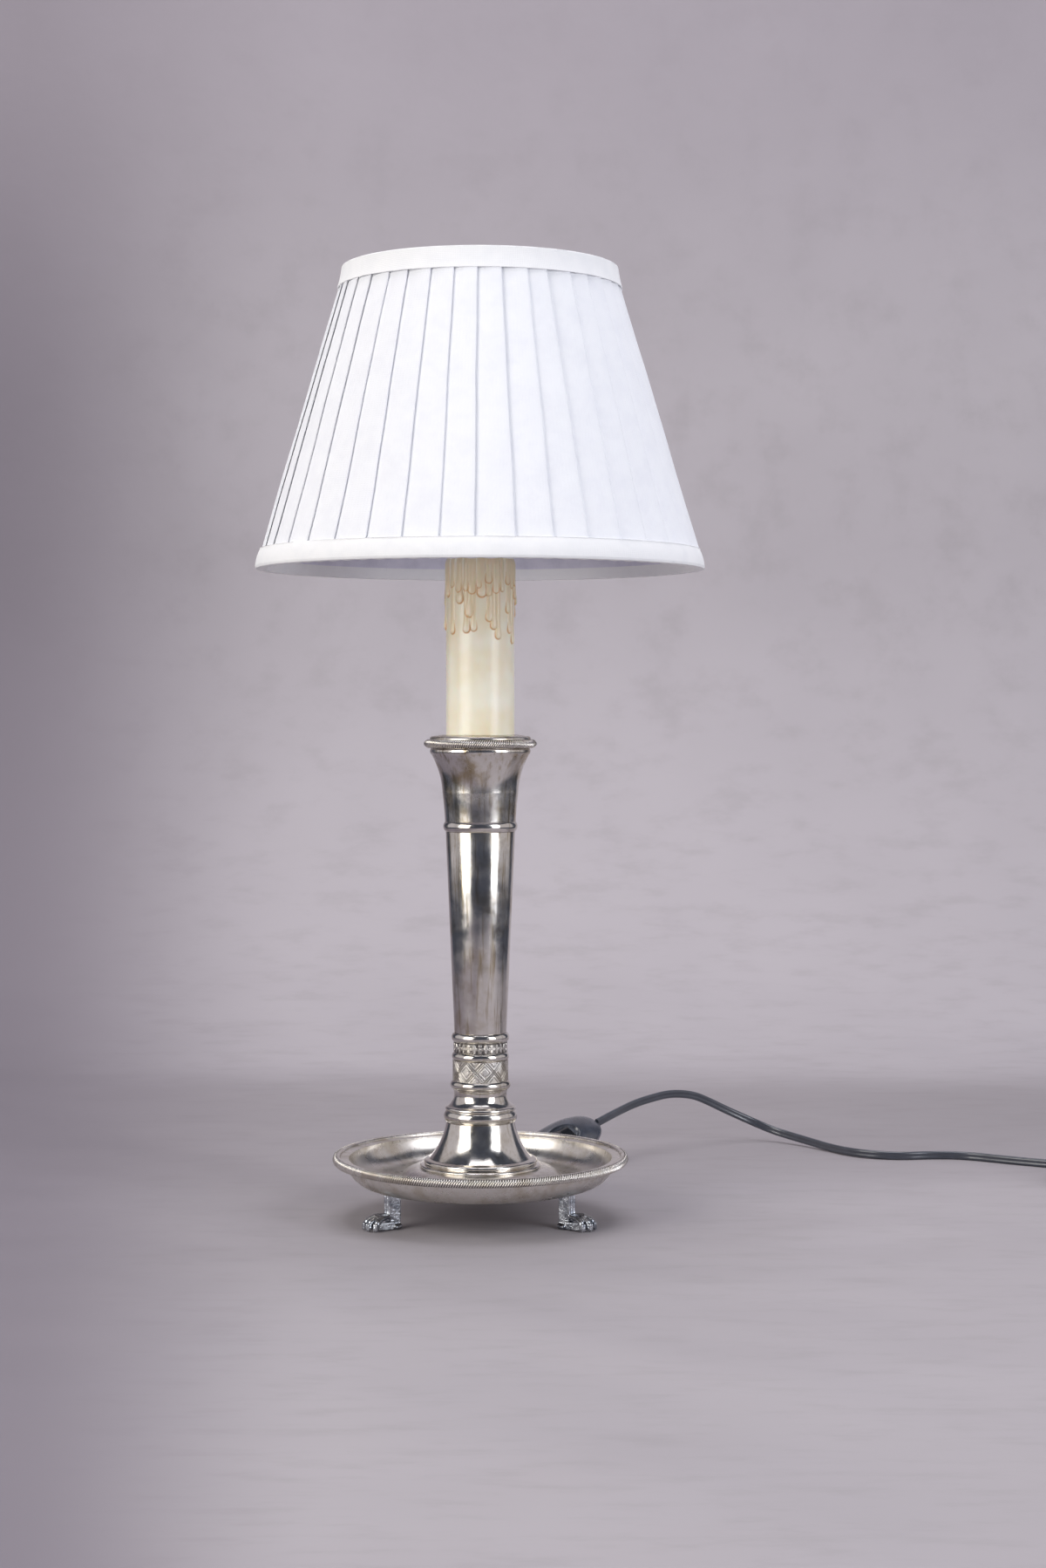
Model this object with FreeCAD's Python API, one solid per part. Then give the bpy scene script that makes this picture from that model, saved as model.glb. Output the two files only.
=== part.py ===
"""Candlestick table lamp with a pleated clip-on shade, in millimetres.

The lamp stands on z = 0 with its stem on the Z axis. -Y is the front, +X the right.
"""
import FreeCAD, Part
import math
import os

V = FreeCAD.Vector
UP = V(0, 0, 1)
ORIGIN = V(0, 0, 0)

# ---------------------------------------------------------------- driving sizes
# Dish and feet
DISH_RADIUS = 82.5
DISH_RIM_Z = 36.6
DISH_FLOOR_Z = 21.6
DISH_WALL = 1.8
DISH_CENTRE_Z = 29.4
FOOT_CIRCLE = 55.0
FOOT_ANGLES = {"foot_left": 210.0, "foot_right": 330.0, "foot_rear": 90.0}
LEG_WIDTH = 7.6
PAW_HEIGHT = 9.0

# Stem, from the dish upwards: the height of each joint face
BELL_TOP_Z = 54.8
KNOP_TOP_Z = 64.0
COVE_TOP_Z = 73.1
LOWER_RING_TOP_Z = 78.0
DRUM_TOP_Z = 89.4
MIDDLE_RING_TOP_Z = 93.6
FRIEZE_TOP_Z = 99.7
UPPER_RING_TOP_Z = 104.5
COLUMN_TOP_Z = 216.8
BEAD_TOP_Z = 222.2
NOZZLE_TOP_Z = 263.2
COLLAR_TOP_Z = 267.9
COVER_TOP_Z = 270.5
SHEET = 1.4
BORE = 5.3

# Hollow threaded rod, M10 x 1, and its fastenings
ROD_RADIUS = 5.0
ROD_BORE = 4.0
ROD_BOTTOM_Z = 21.6
ROD_TOP_Z = 310.0
NUT_FLATS = 14.0
NUT_HEIGHT = 3.0
WASHER = 1.4
LOCK_WASHER = 1.0
BUSH_FLANGE = 1.6
BUSH_DEPTH = 6.4

# Candle sleeve and E27 lampholder inside it
SLEEVE_RADIUS = 19.1
SLEEVE_WALL = 1.6
SLEEVE_TOP_Z = 370.5
SLEEVE_MOUTH = 16.8
DRIP_COUNT = 18
HOLDER_RADIUS = 16.5
HOLDER_BOTTOM_Z = 300.0
HOLDER_TOP_Z = 366.0

# Bulb, E27, 60 mm globe
GLOBE_RADIUS = 30.0
GLOBE_Z = 421.0
GLASS = 1.0
CAP_RADIUS = 13.05
CAP_TOP_Z = 367.5

# Bulb clip and its tilting joint
CLIP_WIRE = 0.8
CLIP_PLANE_X = 25.5
CLIP_SPHERE = GLOBE_RADIUS + 1.1
STRAP_WIDTH = 6.0
STRAP_INNER = CLIP_SPHERE + CLIP_WIRE
STRAP_OUTER = STRAP_INNER + 1.0
PIVOT_Z = 463.0
PIVOT_PIN = 1.5
EAR_GAP = 4.1
EAR_THICK = 1.2

# Shade
SHADE_BOTTOM_Z = 361.8
SHADE_TOP_Z = 528.0
SHADE_SLOPE = -0.2981
SHADE_REF_Z = 372.5
SHADE_REF_RADIUS = 121.5
PLEATS = 38
PLEAT_DEPTH = 1.8
COVER_DEPTH = 2.6
LINING = 0.6
WIRE = 1.2
WIRE_SPACE = 2.6
BAND_HEIGHT = 11.6
TAPE = 0.5
STRUTS = 6
ARMS = 4

# Flat two-core lead: its tube here is round, a little under the lead's width
CORD_WIDTH = 5.2
CORD_RADIUS = 2.5
FLOOR_Z = CORD_WIDTH / 2

# Hand switch on the lead: it leans on a long edge, and the stiff lead lifts its far end
SWITCH_LENGTH = 72.0
SWITCH_WIDTH = 28.0
SWITCH_THICK = 17.0
SWITCH_PLACE = (46.5, 150.0)
SWITCH_TURN = 47.5
SWITCH_LEAN = 54.0
SWITCH_LIFT = 14.0
SWITCH_Z = 16.665
ROCKER_LENGTH = 16.6
ROCKER_WIDTH = 10.0
ROCKER_TILT = 8.0
ROCKER_PIN = 1.0
ROCKER_PIVOT = V(0, 0, 2.6)

# Coil of the spare lead and the plug
COIL_TURNS = 5.0
COIL_OUTER = 35.5
COIL_STEP = 5.8
COIL_Z = 3.4
TIE = 0.7
PLUG_BODY = (35.0, 26.0, 13.7)
PLUG_PIN_RADIUS = 2.0
PLUG_PIN_LENGTH = 19.0
PLUG_PIN_SPACING = 19.0
PLUG_SHANK_RADIUS = 1.6
PLUG_SHANK_LENGTH = 12.0
RELIEF_LENGTH = 22.0

# Route of the lead from the stem to the switch, and from the switch to the coil
ROUTE_TO_SWITCH = [
    (0, 0, 20.0), (0, 0, 14.0), (2.1, 4.0, 9.9), (6.4, 12.2, 8.5), (14, 28, 5.9),
    (17, 52, 3.4), (13, 79, 2.6), (9.4, 101, 3.0), (15.03, 115.66, 5.05),
    (22.9, 124.25, 7.96),
]
ROUTE_TO_COIL = [
    (70.1, 175.75, 25.37), (77.97, 184.34, 28.28), (88.2, 200.9, 30.6), (97.3, 210, 33.1),
    (106.7, 219.1, 34.5), (116.2, 227.7, 35.6), (125.5, 235, 35), (135.8, 242.1, 32.7),
    (145.7, 248.1, 27.7), (156.5, 253.2, 21.8), (167.1, 256.8, 16.6), (177.5, 258, 11.8),
    (188.3, 255.1, 7.7), (198.1, 247.6, 5.6), (209.4, 235.1, 4), (221.3, 217.6, 2.7),
    (235.1, 195.4, 3.1), (259, 186, 2.6), (283, 191, 2.6), (304, 189, 2.6),
    (326, 173.5, 2.6), (350, 159.5, 2.6), (376, 143.5, COIL_Z), (396, 130.5, COIL_Z),
]
PLUG_Z = PLUG_BODY[2] / 2
ROUTE_AFTER_COIL = [(421.3, 110.6, 7.9), (425.6, 99.6, PLUG_Z), (427.3, 87.7, PLUG_Z)]


# ---------------------------------------------------------------- shape helpers
def outline(points):
    """Closed face in the XZ plane. A point of four numbers is an arc through its first pair."""
    edges = []
    here = points[0]
    for step in points[1:] + points[:1]:
        end = step[-2:]
        if len(step) == 4:
            arc = Part.Arc(V(here[0], 0, here[1]), V(step[0], 0, step[1]), V(end[0], 0, end[1]))
            edges.append(arc.toShape())
        elif end != here:
            line = Part.LineSegment(V(here[0], 0, here[1]), V(end[0], 0, end[1]))
            edges.append(line.toShape())
        here = end
    return Part.Face(Part.Wire(edges))


def lathe(points):
    """Solid of revolution about Z from an outline of (radius, height) points."""
    return outline(points).revolve(ORIGIN, UP, 360)


def tube(inner, outer, low, high):
    return lathe([(inner, low), (outer, low), (outer, high), (inner, high)])


def rod(radius, low, high, x=0.0, y=0.0):
    return Part.makeCylinder(radius, high - low, V(x, y, low))


def bar(radius, start, end):
    return Part.makeCylinder(radius, (end - start).Length, start, end - start)


def block(x, y, z):
    """Box from three (low, high) pairs."""
    return Part.makeBox(x[1] - x[0], y[1] - y[0], z[1] - z[0], V(x[0], y[0], z[0]))


def prism(points, direction):
    """Straight-sided solid from a polygon of vectors."""
    return Part.Face(Part.makePolygon(points + points[:1])).extrude(direction)


def fuse(shapes):
    return shapes[0].multiFuse(shapes[1:]).removeSplitter()


def about_z(shape, angle):
    turned = shape.copy()
    turned.rotate(ORIGIN, UP, angle)
    return turned


def polar(radius, angle, z):
    turn = math.radians(angle)
    return V(radius * math.cos(turn), radius * math.sin(turn), z)


def save(name, *solids):
    """Write one named piece, or a group of like pieces, as a STEP file."""
    shape = solids[0] if len(solids) == 1 else Part.makeCompound(list(solids))
    for solid in shape.Solids:
        if not solid.isValid():
            print("INVALID", name)
    if not shape.Solids:
        print("EMPTY", name)
    shape.exportStep(f"parts/{name}.step")
    return shape


# ---------------------------------------------------------------- cord helpers
def corner_arc(before, corner, after, cut):
    """Arc that leaves the corner's two runs `cut` from it, and its radius."""
    back = (before - corner).normalize()
    ahead = (after - corner).normalize()
    half_turn = (math.pi - back.getAngle(ahead)) / 2
    radius = cut / math.tan(half_turn)
    middle = corner + (back + ahead).normalize() * (radius / math.cos(half_turn) - radius)
    arc = Part.Arc(corner + back * cut, middle, corner + ahead * cut).toShape()
    return arc, radius


def rounded_path(route):
    """Straight runs joined by tangent arcs, each as large as its two runs allow."""
    points = [V(*p) for p in route]
    edges = []
    radii = []
    here = points[0]
    for before, corner, after in zip(points, points[1:], points[2:]):
        cut = 0.45 * min((before - corner).Length, (after - corner).Length)
        arc, radius = corner_arc(before, corner, after, cut)
        edges.append(Part.LineSegment(here, arc.valueAt(arc.FirstParameter)).toShape())
        edges.append(arc)
        here = arc.valueAt(arc.LastParameter)
        radii.append(radius)
    edges.append(Part.LineSegment(here, points[-1]).toShape())
    return Part.Wire(edges), radii


def sweep_round(path, direction, name):
    """Round tube of the cord's radius along a path, with its volume checked."""
    start = path.Edges[0].valueAt(path.Edges[0].FirstParameter)
    ring = Part.Wire(Part.makeCircle(CORD_RADIUS, start, direction))
    solid = path.makePipeShell([ring], True, False)
    expected = math.pi * CORD_RADIUS ** 2 * path.Length
    print(f"{name}: length {path.Length:.1f}, volume {solid.Volume:.0f},"
          f" section x length {expected:.0f}")
    return solid


def cord_stretch(name, route):
    path, radii = rounded_path(route)
    print(f"{name}: radii", ", ".join(f"{r:.1f}" for r in radii))
    return sweep_round(path, V(*route[1]) - V(*route[0]), name)


def coil_point(turned):
    """Place and direction on the coil after `turned` turns: in, up a layer, and out again."""
    leg = (COIL_TURNS - 0.5) / 2
    if turned <= leg:
        radius = COIL_OUTER - COIL_STEP * turned
        radius_rate = -COIL_STEP
        climb = 0.0
        climb_rate = 0.0
    elif turned >= COIL_TURNS - leg:
        radius = COIL_OUTER - COIL_STEP * (COIL_TURNS - turned)
        radius_rate = COIL_STEP
        climb = 1.0
        climb_rate = 0.0
    else:
        part = (turned - leg) / 0.5
        radius = COIL_OUTER - COIL_STEP * (leg + 0.5 * part * (1 - part))
        radius_rate = -COIL_STEP * (1 - 2 * part)
        climb = part * part * (3 - 2 * part)
        climb_rate = 6 * part * (1 - part) / 0.5
    angle = COIL_START_ANGLE - 2 * math.pi * turned
    out = V(math.cos(angle), math.sin(angle), 0)
    along = V(math.sin(angle), -math.cos(angle), 0)
    place = COIL_CENTRE + out * radius + UP * (COIL_STEP * climb)
    rate = along * (2 * math.pi * radius) + out * radius_rate + UP * (COIL_STEP * climb_rate)
    return place, rate.normalize()


def biarc(start, start_way, end, end_way):
    """Two arcs that join two places and leave and reach them in the given directions."""
    across = end - start
    ways = start_way + end_way
    spread = 2 * (1 - start_way.dot(end_way))
    reach = across.dot(ways)
    cut = (-reach + math.sqrt(reach ** 2 + spread * across.dot(across))) / spread
    first = start + start_way * cut
    last = end - end_way * cut
    middle = (first + last) * 0.5
    return [corner_arc(start, first, middle, cut)[0], corner_arc(middle, last, end, cut)[0]]


def coil_path():
    """Whole middle line of the coil, with a straight end of one lead's width each way."""
    steps = round(COIL_TURNS * 4)
    places = [coil_point(step / 4) for step in range(steps + 1)]
    edges = [Part.LineSegment(V(*ROUTE_TO_COIL[-1]), places[0][0]).toShape()]
    for (start, start_way), (end, end_way) in zip(places, places[1:]):
        edges += biarc(start, start_way, end, end_way)
    end, end_way = places[-1]
    edges.append(Part.LineSegment(end, end + end_way * CORD_WIDTH).toShape())
    return Part.Wire(edges)


def coil_gap():
    """Least gap between the coil's turns, measured on points of its middle line."""
    per_turn = 72
    line = [coil_point(i / per_turn)[0] for i in range(round(COIL_TURNS * per_turn) + 1)]
    near = per_turn // 2
    least = min((a - b).Length for i, a in enumerate(line) for b in line[i + near:])
    return least - 2 * CORD_RADIUS


ENTRY_WAY = (V(*ROUTE_TO_COIL[-1]) - V(*ROUTE_TO_COIL[-2])).normalize()
COIL_START = V(*ROUTE_TO_COIL[-1]) + ENTRY_WAY * CORD_WIDTH
SPIRAL_LEAN = math.atan(COIL_STEP / (2 * math.pi * COIL_OUTER))
COIL_START_ANGLE = math.atan2(ENTRY_WAY.y, ENTRY_WAY.x) + math.pi / 2 + SPIRAL_LEAN
COIL_CENTRE = COIL_START - polar(COIL_OUTER, math.degrees(COIL_START_ANGLE), 0)
COIL_END, EXIT_WAY = coil_point(COIL_TURNS)
ROUTE_TO_PLUG = [
    tuple(COIL_END + EXIT_WAY * CORD_WIDTH), tuple(COIL_END + EXIT_WAY * (CORD_WIDTH + 10)),
] + ROUTE_AFTER_COIL


# ---------------------------------------------------------------- dish and feet
def dish():
    """Shallow spun dish: flat lip, deep wall, trough and raised centre, drilled for feet."""
    top = [
        (78.4, 35.4), (73.4, 34.8), (71.2, 27.6, 61.0, DISH_FLOOR_Z), (51.0, DISH_FLOOR_Z),
        (47.7, 22.5, 44.4, 24.9), (40.6, 28.0, 35.2, DISH_CENTRE_Z), (BORE, DISH_CENTRE_Z),
    ]
    under = [
        (BORE, DISH_CENTRE_Z - DISH_WALL), (34.6, DISH_CENTRE_Z - DISH_WALL),
        (39.4, 26.4, 43.2, 23.4), (46.8, 20.8, 50.8, DISH_FLOOR_Z - DISH_WALL),
        (61.4, DISH_FLOOR_Z - DISH_WALL), (72.7, 26.4, 75.2, 33.2), (78.4, 33.6),
    ]
    solid = lathe(top + under)
    for angle in FOOT_ANGLES.values():
        centre = polar(FOOT_CIRCLE, angle, 0)
        solid = solid.cut(rod(2.0, 15, 25, centre.x, centre.y))
    return solid


def rope_border():
    """Heavy border wire soldered round the dish's lip."""
    low = DISH_RIM_Z - 4.9
    middle = DISH_RIM_Z - 2.45
    return lathe([
        (78.4, low + 0.8), (79.6, low, 80.6, low), (DISH_RADIUS, middle, 80.6, DISH_RIM_Z),
        (79.6, DISH_RIM_Z, 78.4, DISH_RIM_Z - 0.8),
    ])


def paw_foot(angle):
    """Lion's paw on a square leg: rib, heel pad and four toes, with a tenon through the dish."""
    half = LEG_WIDTH / 2
    top = DISH_FLOOR_Z - DISH_WALL
    leg = block((-half, half), (-half, half), (0, top))
    rib = rod(2.2, 4.0, top, half)
    tenon = rod(2.0, top, DISH_FLOOR_Z)
    pad = block((-half, 12.5), (-5.0, 5.0), (0, 4.6))
    pieces = [leg, rib, tenon, pad]
    toe = 2.35
    for spread in (-22, -7.5, 7.5, 22):
        knuckle = V(4.0, 0, 6.2) + polar(1.0, spread, 0) + V(0, spread * 0.09, 0)
        tip = V(1.0, 0, PAW_HEIGHT - toe - 1.1) + polar(13.2, spread * 0.9, 0)
        pieces.append(bar(toe, knuckle, tip))
        pieces.append(Part.makeSphere(toe, tip))
        pieces.append(rod(toe, 0, tip.z, tip.x, tip.y))
    heel = Part.makeSphere(2.6, V(-half + 0.4, 0, 2.6))
    foot = fuse(pieces).fuse(heel)
    foot = about_z(foot.removeSplitter(), angle)
    foot.translate(polar(FOOT_CIRCLE, angle, 0))
    return foot


# ---------------------------------------------------------------- stem
def bell_base():
    """Hollow bell on a stepped foot plate."""
    low = DISH_CENTRE_Z
    return lathe([
        (29.8, low), (33.7, low), (33.7, low + 1.2), (33.2, low + 1.8), (31.2, low + 2.1),
        (31.6, 33.1, 30.2, 34.2), (28.6, 34.6), (22.9, 42.9, 19.1, BELL_TOP_Z),
        (19.1 - SHEET, BELL_TOP_Z), (21.5, 42.2, 26.6, 34.0), (29.8, 31.4),
    ])


def knop_ring():
    return lathe([
        (BORE, BELL_TOP_Z), (19.1, BELL_TOP_Z), (20.5, 57.9, 19.6, 60.9), (19.1, 61.3),
        (19.7, 62.3, 18.9, 63.5), (18.1, KNOP_TOP_Z), (BORE, KNOP_TOP_Z),
    ])


def cove_neck():
    return lathe([
        (BORE, KNOP_TOP_Z), (18.1, KNOP_TOP_Z), (15.1, 68.0, 15.3, COVE_TOP_Z),
        (BORE, COVE_TOP_Z),
    ])


def bead(low, high, edge_low, crown, edge_high):
    """Turned ring with a rounded edge, bored for the rod."""
    return lathe([
        (BORE, low), (edge_low, low), (crown, (low + high) / 2, edge_high, high), (BORE, high),
    ])


def drum(low, high, radius):
    return tube(BORE, radius, low, high)


def column():
    """Hollow tapered column, closed at both ends round the rod."""
    low = 14.6
    high = 19.3
    end = 3.0
    return lathe([
        (BORE, UPPER_RING_TOP_Z), (low, UPPER_RING_TOP_Z), (high, COLUMN_TOP_Z),
        (BORE, COLUMN_TOP_Z), (BORE, COLUMN_TOP_Z - end), (high - SHEET, COLUMN_TOP_Z - end),
        (low - SHEET, UPPER_RING_TOP_Z + end), (BORE, UPPER_RING_TOP_Z + end),
    ])


def nozzle():
    """Flared candle nozzle with a bead under its edge."""
    floor = BEAD_TOP_Z + 2.0
    return lathe([
        (BORE, BEAD_TOP_Z), (19.7, BEAD_TOP_Z), (20.2, 229.5, 21.1, 238.5),
        (22.9, 249.2, 27.2, 259.6), (28.0, 261.4, 27.2, NOZZLE_TOP_Z),
        (25.7, NOZZLE_TOP_Z), (25.7, 260.0), (21.5, 249.8, 19.7, 239.0),
        (18.8, 229.8, 18.3, floor), (BORE, floor),
    ])


def rope_collar():
    """Drip pan's rim, hollow beneath, with a round corded edge."""
    middle = (NOZZLE_TOP_Z + COLLAR_TOP_Z) / 2
    return lathe([
        (BORE, 266.1), (24.5, 266.1), (24.5, NOZZLE_TOP_Z), (28.9, NOZZLE_TOP_Z),
        (31.4, middle, 28.9, COLLAR_TOP_Z), (BORE, COLLAR_TOP_Z),
    ])


def nozzle_cover():
    return lathe([
        (BORE, COLLAR_TOP_Z), (28.2, COLLAR_TOP_Z), (27.7, 269.2, 26.0, 269.7),
        (21.0, COVER_TOP_Z), (BORE, COVER_TOP_Z),
    ])


def hex_nut(low, height, flats):
    corner = flats / math.sqrt(3)
    points = [polar(corner, 60 * k, low) for k in range(6)]
    return prism(points, UP * height).cut(rod(ROD_RADIUS, low - 1, low + height + 1))


def lock_washer(low, high):
    """Split spring washer."""
    return tube(BORE, 8.2, low, high).cut(block((0, 12), (-0.8, 0.8), (low - 1, high + 1)))


def cable_bush():
    """Nylon bush pushed into the rod's lower end."""
    bore = CORD_RADIUS + 0.25
    return lathe([
        (bore, ROD_BOTTOM_Z - BUSH_FLANGE), (5.6, ROD_BOTTOM_Z - BUSH_FLANGE),
        (6.5, ROD_BOTTOM_Z - 0.8), (6.5, ROD_BOTTOM_Z), (ROD_BORE, ROD_BOTTOM_Z),
        (ROD_BORE, ROD_BOTTOM_Z + BUSH_DEPTH), (bore, ROD_BOTTOM_Z + BUSH_DEPTH),
    ])


# ---------------------------------------------------------------- candle and lampholder
def candle_sleeve():
    """Candle tube with a rounded, inturned top and wax drips down its outside."""
    inner = SLEEVE_RADIUS - SLEEVE_WALL
    shoulder = 4.0
    sleeve = lathe([
        (inner, COVER_TOP_Z), (SLEEVE_RADIUS, COVER_TOP_Z),
        (SLEEVE_RADIUS, SLEEVE_TOP_Z - shoulder),
        (SLEEVE_RADIUS - 0.7, SLEEVE_TOP_Z - 1.0, SLEEVE_MOUTH, SLEEVE_TOP_Z),
        (SLEEVE_MOUTH, SLEEVE_TOP_Z - SLEEVE_WALL), (inner, SLEEVE_TOP_Z - 3.0),
    ])
    core = rod(inner, COVER_TOP_Z - 1, SLEEVE_TOP_Z + 1)
    for k in range(DRIP_COUNT):
        reach = 24 + 17 * abs(math.sin(2.3 * k + 0.6))
        thick = 2.5 + 0.8 * abs(math.cos(1.7 * k))
        place = polar(SLEEVE_RADIUS - thick + 1.3, 360 / DRIP_COUNT * k, SLEEVE_TOP_Z - reach)
        run = rod(thick, place.z, SLEEVE_TOP_Z - shoulder, place.x, place.y)
        drip = run.fuse([
            Part.makeSphere(thick, place),
            Part.makeSphere(thick, V(place.x, place.y, SLEEVE_TOP_Z - shoulder)),
        ])
        sleeve = sleeve.fuse(drip.cut(core))
    return sleeve.removeSplitter()


def holder_base():
    """Lower cap of the lampholder, threaded on the rod."""
    return lathe([
        (ROD_RADIUS, HOLDER_BOTTOM_Z), (9.0, HOLDER_BOTTOM_Z), (HOLDER_RADIUS, 305),
        (HOLDER_RADIUS, 318), (14.8, 318), (14.8, ROD_TOP_Z), (ROD_RADIUS, ROD_TOP_Z),
    ])


def holder_body():
    return lathe([
        (14.8, 318), (HOLDER_RADIUS, 318), (HOLDER_RADIUS, HOLDER_TOP_Z - 1),
        (HOLDER_RADIUS - 1, HOLDER_TOP_Z), (14.4, HOLDER_TOP_Z), (14.4, HOLDER_TOP_Z - 1.6),
        (14.8, HOLDER_TOP_Z - 1.6),
    ])


def holder_centre_contact():
    """Bent spring tongue that presses on the bulb's centre contact."""
    thick = 0.8
    side = [
        V(-7, -2.5, 329), V(2, -2.5, 329), V(7.5, -2.5, 334.5), V(3, -2.5, 341.2),
        V(-3, -2.5, 341.2), V(-3, -2.5, 341.2 - thick), V(2.4, -2.5, 341.2 - thick),
        V(6.3, -2.5, 334.6), V(1.6, -2.5, 329 + thick), V(-7, -2.5, 329 + thick),
    ]
    return prism(side, V(0, 5, 0))


def inner_lead():
    """Lead inside the rod, and its two cores at the terminals."""
    sheath = rod(CORD_RADIUS, ROUTE_TO_SWITCH[0][2], 316)
    cores = [bar(0.9, V(s * CORD_RADIUS, 0, 314.4), V(s * 6.5, 0, 314.4)) for s in (-1, 1)]
    return [sheath] + [core.cut(sheath) for core in cores]


def terminals():
    """Two brass terminal blocks with their screws."""
    solids = []
    for side in (-1, 1):
        ends = sorted((side * 6.5, side * 11.5))
        body = block(ends, (-2.5, 2.5), (312, 318))
        solids.append(body.fuse(rod(1.5, 310.6, 312, side * 9, 0)))
    return solids


# ---------------------------------------------------------------- bulb
def globe():
    """Opal glass: neck, flare and sphere."""
    low = math.radians(-30.6)
    mid = math.radians(30)

    def at(radius, angle):
        return radius * math.cos(angle), GLOBE_Z + radius * math.sin(angle)

    inside = GLOBE_RADIUS - GLASS
    return lathe([
        (12.4, 360), (12.4, 368), (14.4, 372), (19.0, 389.4) + at(GLOBE_RADIUS, low),
        at(GLOBE_RADIUS, mid) + (0, GLOBE_Z + GLOBE_RADIUS), (0, GLOBE_Z + inside),
        at(inside, mid) + at(inside, low), (18.0, 389.9, 13.4, 372.4), (11.4, 368.4),
        (11.4, 360),
    ])


def bulb_cap():
    """Threaded shell and the contact at its foot."""
    shell = lathe([
        (9.5, 347.5), (CAP_RADIUS, 347.5), (CAP_RADIUS, CAP_TOP_Z), (12.4, CAP_TOP_Z),
        (12.4, 348.1), (9.5, 348.1),
    ])
    return [shell, rod(4.5, 341.5, 344.5)]


def bulb_cap_insulator():
    return lathe([
        (0, 344.5), (4.5, 344.5), (4.5, 343.2), (5.6, 342.8), (9.5, 346.6), (9.5, 350.0),
        (0, 350.0),
    ])


def bulb_filament():
    """Glass mount, two support wires and the filament between them."""
    mount = Part.makeCone(4.2, 2.0, 30, V(0, 0, 366))
    wires = []
    for side in (-1, 1):
        wires.append(bar(0.35, V(side * 1.2, 0, 396), V(side * 9, 0, 420)))
    filament = bar(0.5, V(-9, 0, 420.5), V(9, 0, 420.5))
    return [mount] + wires + [filament]


# ---------------------------------------------------------------- clip
def clip_loops():
    """Two wire hoops that lie on the globe from both sides."""
    radius = math.sqrt(CLIP_SPHERE ** 2 - CLIP_PLANE_X ** 2)
    hoops = []
    for side in (-1, 1):
        ring = Part.makeTorus(radius, CLIP_WIRE, V(side * CLIP_PLANE_X, 0, GLOBE_Z), V(1, 0, 0))
        hoops.append(ring)
    return hoops


def clip_strap():
    """Spring strap over the top of the globe, from hoop to hoop."""
    half = math.radians(57)

    def at(radius, angle):
        return radius * math.sin(angle), GLOBE_Z + radius * math.cos(angle)

    face = outline([
        at(STRAP_INNER, -half), (0, GLOBE_Z + STRAP_INNER) + at(STRAP_INNER, half),
        at(STRAP_OUTER, half), (0, GLOBE_Z + STRAP_OUTER) + at(STRAP_OUTER, -half),
    ])
    strap = face.extrude(V(0, STRAP_WIDTH, 0))
    strap.translate(V(0, -STRAP_WIDTH / 2, 0))
    return strap


def clip_bracket():
    """U-shaped bracket welded on the strap, with two ears for the pivot pin."""
    outer = EAR_GAP + EAR_THICK
    width = 4.5
    base = block((-width, width), (-outer, outer), (GLOBE_Z + STRAP_OUTER - 1.5, 455.6))
    drum_shape = Part.makeCylinder(STRAP_OUTER, 40, V(0, -20, GLOBE_Z), V(0, 1, 0))
    base = base.cut(drum_shape)
    ears = []
    for low in (-outer, EAR_GAP):
        plate = block((-width, width), (low, low + EAR_THICK), (455.6, PIVOT_Z))
        tip = Part.makeCylinder(width, EAR_THICK, V(0, low, PIVOT_Z), V(0, 1, 0))
        ears.append(plate.fuse(tip))
    bracket = fuse([base] + ears)
    return bracket.cut(Part.makeCylinder(PIVOT_PIN, 40, V(0, -20, PIVOT_Z), V(0, 1, 0)))


def pivot_pin():
    """Screw with a round head at the front and a thread at the back."""
    front = -(EAR_GAP + EAR_THICK)
    shank = Part.makeCylinder(PIVOT_PIN, 16.6, V(0, front, PIVOT_Z), V(0, 1, 0))
    head = Part.makeCylinder(3.2, 2.0, V(0, front - 2.0, PIVOT_Z), V(0, 1, 0))
    return shank.fuse(head)


def wing_nut():
    back = EAR_GAP + EAR_THICK
    hub = Part.makeCylinder(3.4, 4.0, V(0, back, PIVOT_Z), V(0, 1, 0))
    wings = block((-9.5, 9.5), (back + 1.0, back + 2.6), (PIVOT_Z - 2.2, PIVOT_Z + 2.2))
    hole = Part.makeCylinder(PIVOT_PIN, 20, V(0, back - 2, PIVOT_Z), V(0, 1, 0))
    return hub.fuse(wings).cut(hole)


# ---------------------------------------------------------------- shade
def shade_radius(z):
    """Outer edge of the pleats at a height."""
    return SHADE_REF_RADIUS + (z - SHADE_REF_Z) * SHADE_SLOPE


def cone_solid(inset, low, high):
    """Solid cone that follows the shade's side, `inset` inside it."""
    return Part.makeCone(
        shade_radius(low) - inset, shade_radius(high) - inset, high - low, V(0, 0, low))


def pleated_cover():
    """Knife-pleated cover: each pleat rises slowly and drops back in a short step."""
    low = SHADE_BOTTOM_Z + 0.7
    high = SHADE_TOP_Z - 0.5
    pitch = 360 / PLEATS
    rings = []
    for z in (low, high):
        points = []
        for k in range(PLEATS):
            points.append(polar(shade_radius(z) - PLEAT_DEPTH, pitch * k, z))
            points.append(polar(shade_radius(z), pitch * (k + 0.88), z))
        rings.append(Part.makePolygon(points + points[:1]))
    outside = Part.makeLoft(rings, True, True)
    return outside.cut(cone_solid(COVER_DEPTH, low - 1, high + 1))


def lining():
    low = SHADE_BOTTOM_Z + 0.7
    high = SHADE_TOP_Z - 8.5
    outer_inset = COVER_DEPTH + WIRE_SPACE
    outer = cone_solid(outer_inset, low, high)
    return outer.cut(cone_solid(outer_inset + LINING, low - 1, high + 1))


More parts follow.
